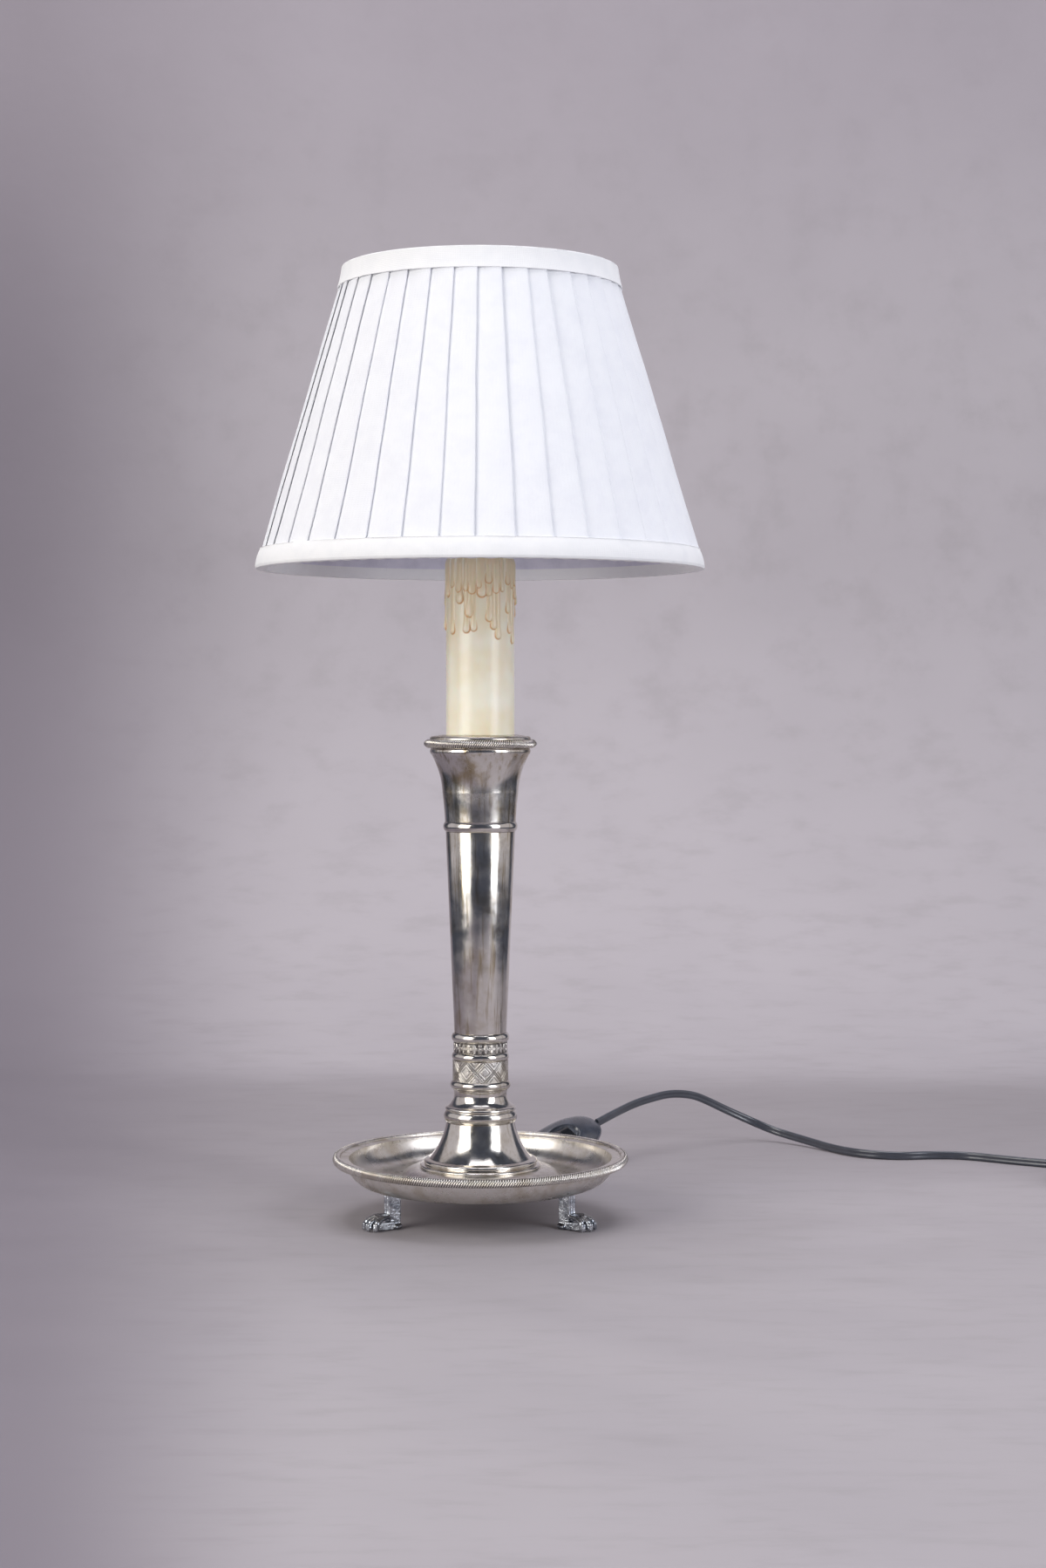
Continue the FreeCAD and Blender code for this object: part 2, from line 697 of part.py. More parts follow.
def wire_frame():
    """Two rings and the slanted struts between them, behind the lining."""
    inset = COVER_DEPTH + WIRE_SPACE / 2
    low = SHADE_BOTTOM_Z + 2.4
    high = SHADE_TOP_Z - 4.0
    rings = [
        Part.makeTorus(shade_radius(low) - inset, WIRE, V(0, 0, low), UP),
        Part.makeTorus(shade_radius(high) - inset, WIRE, V(0, 0, high), UP),
    ]
    struts = []
    for k in range(STRUTS):
        angle = 360 / STRUTS * k + 30
        foot = polar(shade_radius(low + WIRE) - inset, angle, low + WIRE)
        head = polar(shade_radius(high - WIRE) - inset, angle, high - WIRE)
        strut = bar(WIRE, foot, head)
        for ring in rings:
            strut = strut.cut(ring)
        struts.append(max(strut.Solids, key=lambda s: s.Volume))
    return rings + struts


def top_trim():
    """Tape folded over the shade's top edge."""
    low = SHADE_TOP_Z - BAND_HEIGHT
    high = SHADE_TOP_Z
    under = high - TAPE
    gap = 0.1
    return lathe([
        (shade_radius(low) + gap, low), (shade_radius(low) + 0.7, low), (77.3, high),
        (71.0, high), (71.0, under), (shade_radius(under) + gap, under),
    ])


def bottom_trim():
    """Rolled tape under the shade's bottom edge, with a leg inside the lining."""
    low = SHADE_BOTTOM_Z
    over = low + TAPE
    outer_top = low + 11.0
    inner_top = low + 7.0
    gap = 0.1
    inset = COVER_DEPTH + WIRE_SPACE + LINING
    return lathe([
        (shade_radius(outer_top) + gap, outer_top), (shade_radius(outer_top) + 0.7, outer_top),
        (shade_radius(368) + 1.1, 368, 125.3, low + 1.2), (124.9, low),
        (shade_radius(low) - inset - gap - 0.6, low),
        (shade_radius(inner_top) - inset - gap - 0.6, inner_top),
        (shade_radius(inner_top) - inset - gap, inner_top),
        (shade_radius(over) - inset - gap, over), (shade_radius(over) + gap, over),
    ])


def spider():
    """Hub that turns on the pivot pin, with four arms up to the top ring."""
    half = EAR_GAP - 0.3
    hub = Part.makeCylinder(3.8, 2 * half, V(0, -half, PIVOT_Z), V(0, 1, 0))
    neck = block((-3.0, 3.0), (-half, half), (PIVOT_Z, PIVOT_Z + 8.4))
    disc = rod(10.0, PIVOT_Z + 8.0, PIVOT_Z + 10.5)
    ring_z = SHADE_TOP_Z - 4.0
    ring_inner = shade_radius(ring_z) - COVER_DEPTH - WIRE_SPACE / 2 - WIRE - 0.1
    arms = []
    for k in range(ARMS):
        angle = 360 / ARMS * k
        start = polar(7.0, angle, PIVOT_Z + 9.3)
        knee = polar(16.0, angle, PIVOT_Z + 12.0)
        end = polar(ring_inner, angle, ring_z)
        arms += [bar(1.1, start, knee), Part.makeSphere(1.1, knee), bar(1.1, knee, end)]
    body = fuse([hub, neck, disc] + arms)
    return body.cut(Part.makeCylinder(PIVOT_PIN + 0.05, 40, V(0, -20, PIVOT_Z), V(0, 1, 0)))


# ---------------------------------------------------------------- switch
def place_switch(shape):
    """From the switch's own axes (length, width, face) to where it leans on the floor."""
    placed = shape.copy()
    placed.rotate(ORIGIN, V(1, 0, 0), 90 - SWITCH_LEAN)
    placed.rotate(ORIGIN, V(0, 1, 0), -SWITCH_LIFT)
    placed.rotate(ORIGIN, UP, SWITCH_TURN)
    placed.translate(V(SWITCH_PLACE[0], SWITCH_PLACE[1], SWITCH_Z))
    return placed


def switch_axis(vector):
    """Direction in the lamp's frame of one given in the switch's own axes."""
    leant = FreeCAD.Rotation(V(1, 0, 0), 90 - SWITCH_LEAN)
    lifted = FreeCAD.Rotation(V(0, 1, 0), -SWITCH_LIFT)
    turned = FreeCAD.Rotation(UP, SWITCH_TURN)
    return turned.multiply(lifted).multiply(leant).multVec(vector)


def lens(half_length, half_width, low, high, end):
    """Prism along Z whose plan is two long arcs between blunt ends of half width `end`."""
    shoulder = half_length - 2.0
    wide = end + 2.0
    edges = []
    for side in (-1, 1):
        edges.append(Part.Arc(V(-side * shoulder, side * wide, low),
                              V(0, side * half_width, low),
                              V(side * shoulder, side * wide, low)).toShape())
        edges.append(Part.Arc(V(side * shoulder, side * wide, low),
                              V(side * (half_length - 0.5), side * (end + 0.8), low),
                              V(side * half_length, side * end, low)).toShape())
        edges.append(Part.LineSegment(V(side * half_length, side * end, low),
                                      V(side * half_length, -side * end, low)).toShape())
        edges.append(Part.Arc(V(side * half_length, -side * end, low),
                              V(side * (half_length - 0.5), -side * (end + 0.8), low),
                              V(side * shoulder, -side * wide, low)).toShape())
    plan = Part.Wire(Part.__sortEdges__(edges))
    return Part.Face(plan).extrude(UP * (high - low))


def switch_outer():
    """Whole outside of the switch: oval in plan and domed lengthways and across."""
    half_l = SWITCH_LENGTH / 2
    half_w = SWITCH_WIDTH / 2
    half_t = SWITCH_THICK / 2
    plan = lens(half_l, half_w, -half_t, half_t, 4.0)
    side = Part.Wire([
        Part.Arc(V(-half_l, -30, -4.2), V(0, -30, -half_t), V(half_l, -30, -4.2)).toShape(),
        Part.LineSegment(V(half_l, -30, -4.2), V(half_l, -30, 4.2)).toShape(),
        Part.Arc(V(half_l, -30, 4.2), V(0, -30, half_t), V(-half_l, -30, 4.2)).toShape(),
        Part.LineSegment(V(-half_l, -30, 4.2), V(-half_l, -30, -4.2)).toShape(),
    ])
    across = Part.Wire([
        Part.Arc(V(-50, -half_w, -3.4), V(-50, 0, -half_t - 0.3), V(-50, half_w, -3.4)).toShape(),
        Part.Arc(V(-50, half_w, -3.4), V(-50, half_w + 0.4, 0), V(-50, half_w, 3.4)).toShape(),
        Part.Arc(V(-50, half_w, 3.4), V(-50, 0, half_t + 0.3), V(-50, -half_w, 3.4)).toShape(),
        Part.Arc(V(-50, -half_w, 3.4), V(-50, -half_w - 0.4, 0), V(-50, -half_w, -3.4)).toShape(),
    ])
    body = plan.common(Part.Face(side).extrude(V(0, 60, 0)))
    return body.common(Part.Face(across).extrude(V(100, 0, 0)))


def core_spaces():
    """Spaces in the two ends of the switch, where the cores are clamped."""
    return block((-25, -12.5), (-8, 8), (-5.5, 4.2)).fuse(
        block((12.5, 25), (-8, 8), (-5.5, 4.2)))


def switch_case_upper():
    """Face half of the case, open for the rocker."""
    body = switch_outer().common(block((-50, 50), (-20, 20), (0, 20)))
    slot = block((-ROCKER_LENGTH / 2 - 1.1, ROCKER_LENGTH / 2 + 1.1),
                 (-ROCKER_WIDTH / 2 - 0.4, ROCKER_WIDTH / 2 + 0.4), (-1, 20))
    pin = Part.makeCylinder(ROCKER_PIN, 15, ROCKER_PIVOT - V(0, 7.5, 0), V(0, 1, 0))
    body = body.cut(slot).cut(pin).cut(core_spaces())
    for x in (-28, 28):
        body = body.cut(rod(1.2, -1, 3.5, x, 5.4))
    return body


def switch_case_lower():
    """Back half of the case, hollow under the rocker."""
    body = switch_outer().common(block((-50, 50), (-20, 20), (-20, 0)))
    well = block((-12.5, 12.5), (-8, 8), (-6.4, 1))
    body = body.cut(well).cut(core_spaces())
    for x in (-28, 28):
        body = body.cut(rod(1.2, -20, 1, x, 5.4)).cut(rod(2.2, -20, -3.6, x, 5.4))
    return body


def switch_screws():
    """Two countersunk screws from the back."""
    solids = []
    for x in (-28, 28):
        solids.append(rod(1.2, -3.6, 3.5, x, 5.4).fuse(rod(2.2, -4.8, -3.6, x, 5.4)))
    return solids


def switch_contacts():
    """Fixed contacts: a strip on the floor of the well and a post under the rocker's end."""
    solids = []
    for side in (-1, 1):
        strip = block(sorted((side * 4.4, side * 12)), (-3, 3), (-6.4, -5.2))
        post = block(sorted((side * 4.4, side * 5.4)), (-3, 3), (-5.2, -1.0))
        solids.append(strip.fuse(post).removeSplitter())
    return solids


def switch_rocker():
    """Rocker with two sloping faces; at rest it is tilted to one stop."""
    reach = ROCKER_LENGTH / 2
    half = ROCKER_WIDTH / 2
    top = 8.0
    slope = reach * math.tan(math.radians(ROCKER_TILT))
    side = [
        V(-reach, -half, 2.2), V(-5.5, -half, 0.2), V(5.5, -half, 0.2), V(reach, -half, 2.2),
        V(reach, -half, top - slope + 1.4), V(0, -half, top), V(-reach, -half, top - slope + 1.4),
    ]
    solid = prism(side, V(0, ROCKER_WIDTH, 0))
    bore = Part.makeCylinder(ROCKER_PIN + 0.06, 30, ROCKER_PIVOT - V(0, 15, 0), V(0, 1, 0))
    solid = solid.cut(bore)
    solid.rotate(ROCKER_PIVOT, V(0, 1, 0), ROCKER_TILT)
    return solid


# ---------------------------------------------------------------- plug and tie
def place_plug(shape):
    """From the plug's own axes (X towards the pins) to the end of the lead."""
    end = V(*ROUTE_TO_PLUG[-1])
    way = end - V(*ROUTE_TO_PLUG[-2])
    placed = shape.copy()
    placed.rotate(ORIGIN, UP, math.degrees(math.atan2(way.y, way.x)))
    placed.translate(end)
    return placed


def plug_relief():
    """Tapered sleeve where the lead enters the plug."""
    thin = CORD_RADIUS + 1.0
    return Part.makeCone(thin, 5.2, RELIEF_LENGTH, ORIGIN, V(1, 0, 0))


def plug_body():
    """Flat body, narrower at the lead's end, with the pins' front face square."""
    length, width, thick = PLUG_BODY
    back = RELIEF_LENGTH
    front = back + length
    points = [
        V(back, -6.5, -thick / 2), V(back + 12, -width / 2, -thick / 2),
        V(front, -width / 2, -thick / 2), V(front, width / 2, -thick / 2),
        V(back + 12, width / 2, -thick / 2), V(back, 6.5, -thick / 2),
    ]
    body = prism(points, UP * thick)
    for pin in plug_pins():
        body = body.cut(pin)
    return body


def plug_pins():
    """Two round pins, each with a thinner shank that is moulded into the body."""
    front = RELIEF_LENGTH + PLUG_BODY[0]
    pins = []
    for side in (-1, 1):
        face = V(front, side * PLUG_PIN_SPACING / 2, 0)
        pin = Part.makeCylinder(PLUG_PIN_RADIUS, PLUG_PIN_LENGTH, face, V(1, 0, 0))
        shank = Part.makeCylinder(PLUG_SHANK_RADIUS, PLUG_SHANK_LENGTH, face, V(-1, 0, 0))
        pins.append(fuse([pin, shank]))
    return pins


def coil_tie():
    """Band round the coil's bundle, under it and over it."""
    inner = COIL_OUTER - COIL_STEP * (COIL_TURNS - 0.5) / 2 - CORD_RADIUS - 1.8
    outer = COIL_OUTER + CORD_RADIUS + 0.4
    top = COIL_Z + COIL_STEP + CORD_RADIUS + 0.3
    width = 8.0
    band = block((-width / 2, width / 2), (-outer - TIE, -inner + TIE), (0, top + TIE))
    hole = block((-width, width), (-outer, -inner), (TIE, top))
    band = band.cut(hole)
    band.translate(V(COIL_CENTRE.x, COIL_CENTRE.y, 0))
    return band


# ---------------------------------------------------------------- write everything
def main():
    os.makedirs("parts", exist_ok=True)

    save("dish", dish())
    save("dish_rope_border", rope_border())
    for name, angle in FOOT_ANGLES.items():
        save(name, paw_foot(angle))

    save("bell_base", bell_base())
    save("knop_ring", knop_ring())
    save("cove_neck", cove_neck())
    save("ring_lower", bead(COVE_TOP_Z, LOWER_RING_TOP_Z, 15.3, 16.9, 15.6))
    save("guilloche_drum", drum(LOWER_RING_TOP_Z, DRUM_TOP_Z, 15.5))
    save("ring_middle", bead(DRUM_TOP_Z, MIDDLE_RING_TOP_Z, 15.0, 16.0, 15.0))
    save("frieze_band", drum(MIDDLE_RING_TOP_Z, FRIEZE_TOP_Z, 15.0))
    save("ring_upper", bead(FRIEZE_TOP_Z, UPPER_RING_TOP_Z, 15.0, 16.1, 15.0))
    save("column", column())
    save("column_bead", bead(COLUMN_TOP_Z, BEAD_TOP_Z, 19.4, 20.7, 19.7))
    save("nozzle", nozzle())
    save("nozzle_rope_collar", rope_collar())
    save("nozzle_cover", nozzle_cover())

    under = DISH_CENTRE_Z - DISH_WALL
    washer_z = under - WASHER
    lock_z = washer_z - LOCK_WASHER
    save("stem_rod", tube(ROD_BORE, ROD_RADIUS, ROD_BOTTOM_Z, ROD_TOP_Z))
    save("under_washer", tube(BORE, 15.0, washer_z, under))
    save("lock_washer", lock_washer(lock_z, washer_z))
    under_nut = hex_nut(lock_z - NUT_HEIGHT, NUT_HEIGHT, NUT_FLATS)
    save("rod_nuts", under_nut, hex_nut(COVER_TOP_Z, NUT_HEIGHT, NUT_FLATS))
    save("cable_bush", cable_bush())

    save("candle_sleeve", candle_sleeve())
    save("holder_base", holder_base())
    save("holder_body", holder_body())
    save("holder_insulator", rod(14.8, 318, 329))
    save("holder_screw_shell", tube(CAP_RADIUS + 0.35, CAP_RADIUS + 1.0, 329, 364))
    save("holder_centre_contact", holder_centre_contact())
    save("holder_terminals", *terminals())
    save("inner_lead", *inner_lead())

    save("bulb_globe", globe())
    save("bulb_cap", *bulb_cap())
    save("bulb_cap_insulator", bulb_cap_insulator())
    save("bulb_filament", *bulb_filament())

    save("clip_loops", *clip_loops())
    save("clip_strap", clip_strap())
    save("clip_bracket", clip_bracket())
    save("pivot_pin", pivot_pin())
    save("wing_nut", wing_nut())

    save("shade_cover", pleated_cover())
    save("shade_lining", lining())
    save("shade_wire_frame", *wire_frame())
    save("shade_spider", spider())
    save("shade_top_trim", top_trim())
    save("shade_bottom_trim", bottom_trim())

    save("switch_case_upper", place_switch(switch_case_upper()))
    save("switch_case_lower", place_switch(switch_case_lower()))
    save("switch_screws", *[place_switch(s) for s in switch_screws()])
    save("switch_contacts", *[place_switch(s) for s in switch_contacts()])
    pin = Part.makeCylinder(ROCKER_PIN, 15, ROCKER_PIVOT - V(0, 7.5, 0), V(0, 1, 0))
    save("switch_pivot_pin", place_switch(pin))
    save("switch_rocker", place_switch(switch_rocker()))
    pivot = switch_axis(ROCKER_PIVOT) + V(SWITCH_PLACE[0], SWITCH_PLACE[1], SWITCH_Z)
    print("rocker pivot", tuple(round(c, 4) for c in pivot))
    print("rocker axis", tuple(round(c, 6) for c in switch_axis(V(0, 1, 0))))

    save("cord_to_switch", cord_stretch("cord_to_switch", ROUTE_TO_SWITCH))
    save("cord_to_coil", cord_stretch("cord_to_coil", ROUTE_TO_COIL))
    start_way = coil_point(0)[1]
    save("cord_coil", sweep_round(coil_path(), start_way, "cord_coil"))
    print(f"cord_coil: least gap to itself {coil_gap():.2f}")
    save("cord_to_plug", cord_stretch("cord_to_plug", ROUTE_TO_PLUG))
    save("coil_tie", coil_tie())
    save("plug_relief", place_plug(plug_relief()))
    save("plug_body", place_plug(plug_body()))
    save("plug_pins", *[place_plug(p) for p in plug_pins()])
    for label, place in (("coil centre", COIL_CENTRE), ("plug way", place_plug(
            Part.Vertex(1, 0, 0)).Point - V(*ROUTE_TO_PLUG[-1]))):
        print(label, tuple(round(c, 5) for c in place))


main()
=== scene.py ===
"""Candlestick table lamp: its looks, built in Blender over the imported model.

Shapes are worked out in millimetres, in the model's frame, and written to meshes in metres.
"""
import math

import bpy
import numpy as np
from mathutils import Matrix, Vector


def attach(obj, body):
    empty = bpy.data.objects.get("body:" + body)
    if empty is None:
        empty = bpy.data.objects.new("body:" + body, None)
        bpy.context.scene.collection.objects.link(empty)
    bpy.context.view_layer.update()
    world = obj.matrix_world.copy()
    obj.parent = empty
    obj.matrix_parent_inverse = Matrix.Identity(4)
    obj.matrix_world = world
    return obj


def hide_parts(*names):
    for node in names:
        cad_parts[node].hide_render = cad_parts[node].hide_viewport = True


bl_info = {
    "name": "Candlestick table lamp",
    "version": (1, 0, 0),
    "blender": (4, 5, 0),
    "location": "View3D > Sidebar > Lamp",
    "description": "Silver candlestick lamp with a pleated shade and a lead with a hand switch",
    "category": "Add Mesh",
}

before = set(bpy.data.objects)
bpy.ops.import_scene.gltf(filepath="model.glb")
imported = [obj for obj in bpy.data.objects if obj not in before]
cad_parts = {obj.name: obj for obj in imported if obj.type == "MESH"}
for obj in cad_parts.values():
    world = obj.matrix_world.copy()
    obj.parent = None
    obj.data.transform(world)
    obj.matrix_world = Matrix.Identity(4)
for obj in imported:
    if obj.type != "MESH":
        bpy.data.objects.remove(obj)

MM = 0.001
TAU = 2 * math.pi
# Corners of an outline that turn less than this stay as they are
SOFT_CORNER = math.radians(25)

# Heights and radii shared with the solids, in millimetres
BORE = 5.3
FOOT_RADIUS = 55.0
FOOT_TOP_Z = 19.8
BELL_TOP_Z = 54.8
KNOP_TOP_Z = 64.0
COVE_TOP_Z = 73.1
LOWER_RING_TOP_Z = 78.0
DRUM_TOP_Z = 89.4
MIDDLE_RING_TOP_Z = 93.6
FRIEZE_TOP_Z = 99.7
UPPER_RING_TOP_Z = 104.5
COLUMN_TOP_Z = 216.8
BEAD_TOP_Z = 222.2
NOZZLE_TOP_Z = 263.2
COLLAR_TOP_Z = 267.9
COVER_TOP_Z = 270.5
SLEEVE_RADIUS = 19.1
SLEEVE_TOP_Z = 370.5
SLEEVE_MOUTH = 16.8
SHADE_BOTTOM_Z = 361.8
SHADE_TOP_Z = 528.0
SHADE_SLOPE = -0.2981
SHADE_REF_Z = 372.5
SHADE_REF_RADIUS = 121.5
LINING_TOP_Z = 519.5
SWITCH_Z = 16.665
PLUG_Z = 6.85

# Camera of the photograph: place in metres, pitch in degrees, lens and sensor in millimetres
CAMERA_PLACE = (0.02376, -1.44907, 0.28690)
CAMERA_PITCH = 88.268
LENS = 59.82
SENSOR = 36.0

# Route of the lead: from the stem to the switch, on to the coil, and from the coil to the plug
ROUTE_TO_SWITCH = [
    (0, 0, 20.0), (0, 0, 14.0), (2.1, 4.0, 9.9), (6.4, 12.2, 8.5), (14, 28, 5.9),
    (17, 52, 3.4), (13, 79, 2.6), (9.4, 101, 3.0), (15.03, 115.66, 5.05),
    (22.9, 124.25, 7.96),
]
COIL_Z = 3.4
ROUTE_TO_COIL = [
    (70.1, 175.75, 25.37), (77.97, 184.34, 28.28), (88.2, 200.9, 30.6), (97.3, 210, 33.1),
    (106.7, 219.1, 34.5), (116.2, 227.7, 35.6), (125.5, 235, 35), (135.8, 242.1, 32.7),
    (145.7, 248.1, 27.7), (156.5, 253.2, 21.8), (167.1, 256.8, 16.6), (177.5, 258, 11.8),
    (188.3, 255.1, 7.7), (198.1, 247.6, 5.6), (209.4, 235.1, 4), (221.3, 217.6, 2.7),
    (235.1, 195.4, 3.1), (259, 186, 2.6), (283, 191, 2.6), (304, 189, 2.6),
    (326, 173.5, 2.6), (350, 159.5, 2.6), (376, 143.5, COIL_Z), (396, 130.5, COIL_Z),
]
ROUTE_AFTER_COIL = [(421.3, 110.6, 7.9), (425.6, 99.6, PLUG_Z), (427.3, 87.7, PLUG_Z)]
COIL_TURNS = 5.0
COIL_OUTER = 35.5
COIL_STEP = 5.8
COIL_POINTS = 16
# Sideways of the flat lead inside the upright stem
LEAD_SIDE = (0.89, -0.46, 0.0)


# ---------------------------------------------------------------- settings
def linear(code):
    """Linear colour from a six-digit sRGB code."""
    parts = [int(code[k:k + 2], 16) / 255 for k in (0, 2, 4)]
    return tuple(p / 12.92 if p <= 0.04045 else ((p + 0.055) / 1.055) ** 2.4
                 for p in parts) + (1.0,)


def colour(label, about, code):
    """Colour setting whose default is a six-digit sRGB code."""
    return bpy.props.FloatVectorProperty(
        name=label, description=about, subtype="COLOR", size=4, min=0, max=1,
        default=linear(code))


def length(label, about, size):
    """Length setting, in metres."""
    return bpy.props.FloatProperty(name=label, description=about, default=size, min=0,
                                   unit="LENGTH")


class StageSettings(bpy.types.PropertyGroup):
    paper: colour("Paper", "Colour of the paper sweep", "bbb5b9")
    level: bpy.props.FloatProperty(name="Level", description="Brightness of the lamps",
                                   default=1.0, min=0, subtype="FACTOR", soft_max=2)


class SilverSettings(bpy.types.PropertyGroup):
    bright: colour("Silver", "Colour of the clean plate", "dedad4")
    tarnish: colour("Tarnish", "Colour of the yellow-brown film", "9d8a64")
    film: colour("Dark film", "Colour of the film where it is thickest", "57523f")
    strands: bpy.props.IntProperty(name="Strands", description="Strands in the dish's rope edge",
                                   default=372, min=24)


class CandleSettings(bpy.types.PropertyGroup):
    wax: colour("Wax", "Colour of the plain part of the candle", "fff7e2")
    runs: colour("Runs", "Colour of the wax that has run down", "eddab2")
    # Amber round the drip ends: partly the wax's own tone, partly painted shade in the crease where
    # each drop meets the tube
    edges: colour("Edges", "Colour round the ends of the drips", "d9a25e")


class ShadeSettings(bpy.types.PropertyGroup):
    pleats: bpy.props.IntProperty(name="Pleats", description="Pleats round the shade",
                                  default=38, min=8)
    depth: length("Depth", "How far a pleat steps in", 0.0018)
    cotton: colour("Cotton", "Colour of the pleated cover", "f7f8fb")
    tape: colour("Tape", "Colour of the tapes at the edges", "fafafa")
    lining: colour("Lining", "Colour of the lining", "f0effc")


class LeadSettings(bpy.types.PropertyGroup):
    width: length("Width", "Width of the flat lead", 0.0052)
    thickness: length("Thickness", "Thickness of the flat lead", 0.0033)
    # The blue-grey default is lighter than the black plastic: painted sheen
    colour: colour("Colour", "Colour of the lead, the switch and the plug", "363a43")


# ---------------------------------------------------------------- meshes
def link(obj):
    """Put an object in the scene."""
    bpy.context.scene.collection.objects.link(obj)
    return obj


def mesh_object(name, verts, faces, material=None, uvs=None, sharp=40.0, values=None):
    """Object at the origin from points in millimetres, smooth but for its sharp edges."""
    mesh = bpy.data.meshes.new(name)
    mesh.from_pydata((np.asarray(verts, float) * MM).tolist(), [], faces)
    if uvs is not None:
        layer = mesh.uv_layers.new(name="UVMap")
        layer.data.foreach_set("uv", np.asarray(uvs, np.float32).ravel())
    for key, value in (values or {}).items():
        attribute = mesh.attributes.new(key, "FLOAT", "POINT")
        attribute.data.foreach_set("value", np.asarray(value, np.float32).ravel())
    mesh.polygons.foreach_set("use_smooth", [True] * len(mesh.polygons))
    mesh.set_sharp_from_angle(angle=math.radians(sharp))
    if material:
        mesh.materials.append(material)
    return link(bpy.data.objects.new(name, mesh))


def grid_object(name, points, material=None, loop=False, caps=False, strip=False,
                size=(1.0, 1.0), **more):
    """Object from rings of points, or from the rows of an open strip. A loop joins the last ring
    to the first, caps close both ends, and size is what one step across and one step along add
    to the UVs, in metres."""
    rows, cols = points.shape[:2]
    i, j = np.meshgrid(np.arange(rows if loop else rows - 1),
                       np.arange(cols - 1 if strip else cols), indexing="ij")
    i2, j2 = (i + 1) % rows, (j + 1) % cols
    faces = np.stack([i * cols + j, i * cols + j2, i2 * cols + j2, i2 * cols + j], -1)
    faces = faces.reshape(-1, 4).tolist()
    corners = np.stack([np.stack(c, -1) for c in
                        ((j, i), (j + 1, i), (j + 1, i + 1), (j, i + 1))], 2)
    uvs = (corners.reshape(-1, 2) * np.array(size)).tolist()
    if caps:
        faces += [list(range(cols))[::-1], list(range((rows - 1) * cols, rows * cols))]
        uvs += [(0.0, 0.0)] * (2 * cols)
    return mesh_object(name, points.reshape(-1, 3), faces, material, uvs, **more)


def around(count):
    """Angles of evenly spaced points on a full turn."""
    return np.arange(count) * TAU / count


def squared(wave, power):
    """Sine or cosine pushed towards its ends, so that an oval grows square shoulders."""
    return np.sign(wave) * np.abs(wave) ** power


def arc_points(start, through, end, step=0.35):
    """Points on the arc from start to end, without the start."""
    (ax, ay), (bx, by), (cx, cy) = start, through, end
    twice = 2 * (ax * (by - cy) + bx * (cy - ay) + cx * (ay - by))
    a2, b2, c2 = ax * ax + ay * ay, bx * bx + by * by, cx * cx + cy * cy
    ux = (a2 * (by - cy) + b2 * (cy - ay) + c2 * (ay - by)) / twice
    uy = (a2 * (cx - bx) + b2 * (ax - cx) + c2 * (bx - ax)) / twice
    radius = math.hypot(ax - ux, ay - uy)
    first = math.atan2(ay - uy, ax - ux)
    middle = (math.atan2(by - uy, bx - ux) - first) % TAU
    sweep_angle = (math.atan2(cy - uy, cx - ux) - first) % TAU
    if middle > sweep_angle:
        sweep_angle -= TAU
    count = int(min(48, max(6, abs(sweep_angle) * radius / step)))
    turns = [first + sweep_angle * (k + 1) / count for k in range(count)]
    return [(ux + radius * math.cos(t), uy + radius * math.sin(t)) for t in turns]


def profile(steps, soften):
    """Closed outline from (radius, height) points; four numbers are an arc through the first
    pair. Each sharp corner is broken by a small curve, as spinning and polishing leave it."""
    here = steps[0]
    line = [np.array(here)]
    for step in steps[1:] + steps[:1]:
        end = step[-2:]
        new = arc_points(here, step[:2], end) if len(step) == 4 else [end]
        line += [np.array(p) for p in new if math.dist(p, line[-1]) > 1e-4]
        here = end
    line = np.array(line[:-1])
    out = []
    for before, point, after in zip(np.roll(line, 1, 0), line, np.roll(line, -1, 0)):
        back, ahead = before - point, after - point
        lb, la = np.linalg.norm(back), np.linalg.norm(ahead)
        bend = math.acos(max(-1, min(1, -back @ ahead / (lb * la))))
        if bend < SOFT_CORNER:
            out.append(point)
            continue
        cut = min(soften, 0.4 * lb, 0.4 * la)
        p, q = point + back / lb * cut, point + ahead / la * cut
        for t in (0, 0.25, 0.5, 0.75, 1):
            out.append((1 - t) ** 2 * p + 2 * t * (1 - t) * point + t * t * q)
    out = np.array(out)
    x, z = out.T
    area = np.sum(x * np.roll(z, -1) - np.roll(x, -1) * z)
    return out if area > 0 else out[::-1]


def lathe(name, steps, material, segments=160, soften=0.25):
    """Turned piece about the stem's axis."""
    line = profile(steps, soften)
    turn = around(segments)
    points = np.stack([line[:, :1] * np.cos(turn), line[:, :1] * np.sin(turn),
                       np.repeat(line[:, 1:], segments, axis=1)], -1)
    return grid_object(name, points, material, loop=True)


def about_z(points, angle):
    """Points turned about the stem's axis."""
    c, s = math.cos(angle), math.sin(angle)
    return points @ np.array([[c, s, 0], [-s, c, 0], [0, 0, 1]])


def plain_mesh(obj):
    """Mesh that an object's modifiers or curve settings make; the object itself goes."""
    bpy.context.view_layer.update()
    graph = bpy.context.evaluated_depsgraph_get()
    mesh = bpy.data.meshes.new_from_object(obj.evaluated_get(graph), depsgraph=graph)
    bpy.data.objects.remove(obj)
    return mesh


def finished(obj, name, **modifiers):
    """Object with a plain mesh, made from one that had modifiers."""
    for kind, settings in modifiers.items():
        modifier = obj.modifiers.new(kind, kind.upper())
        for key, value in settings.items():
            setattr(modifier, key, value)
    source = obj.data
    mesh = plain_mesh(obj)
    mesh.name = name
    bpy.data.meshes.remove(source)
    return link(bpy.data.objects.new(name, mesh))


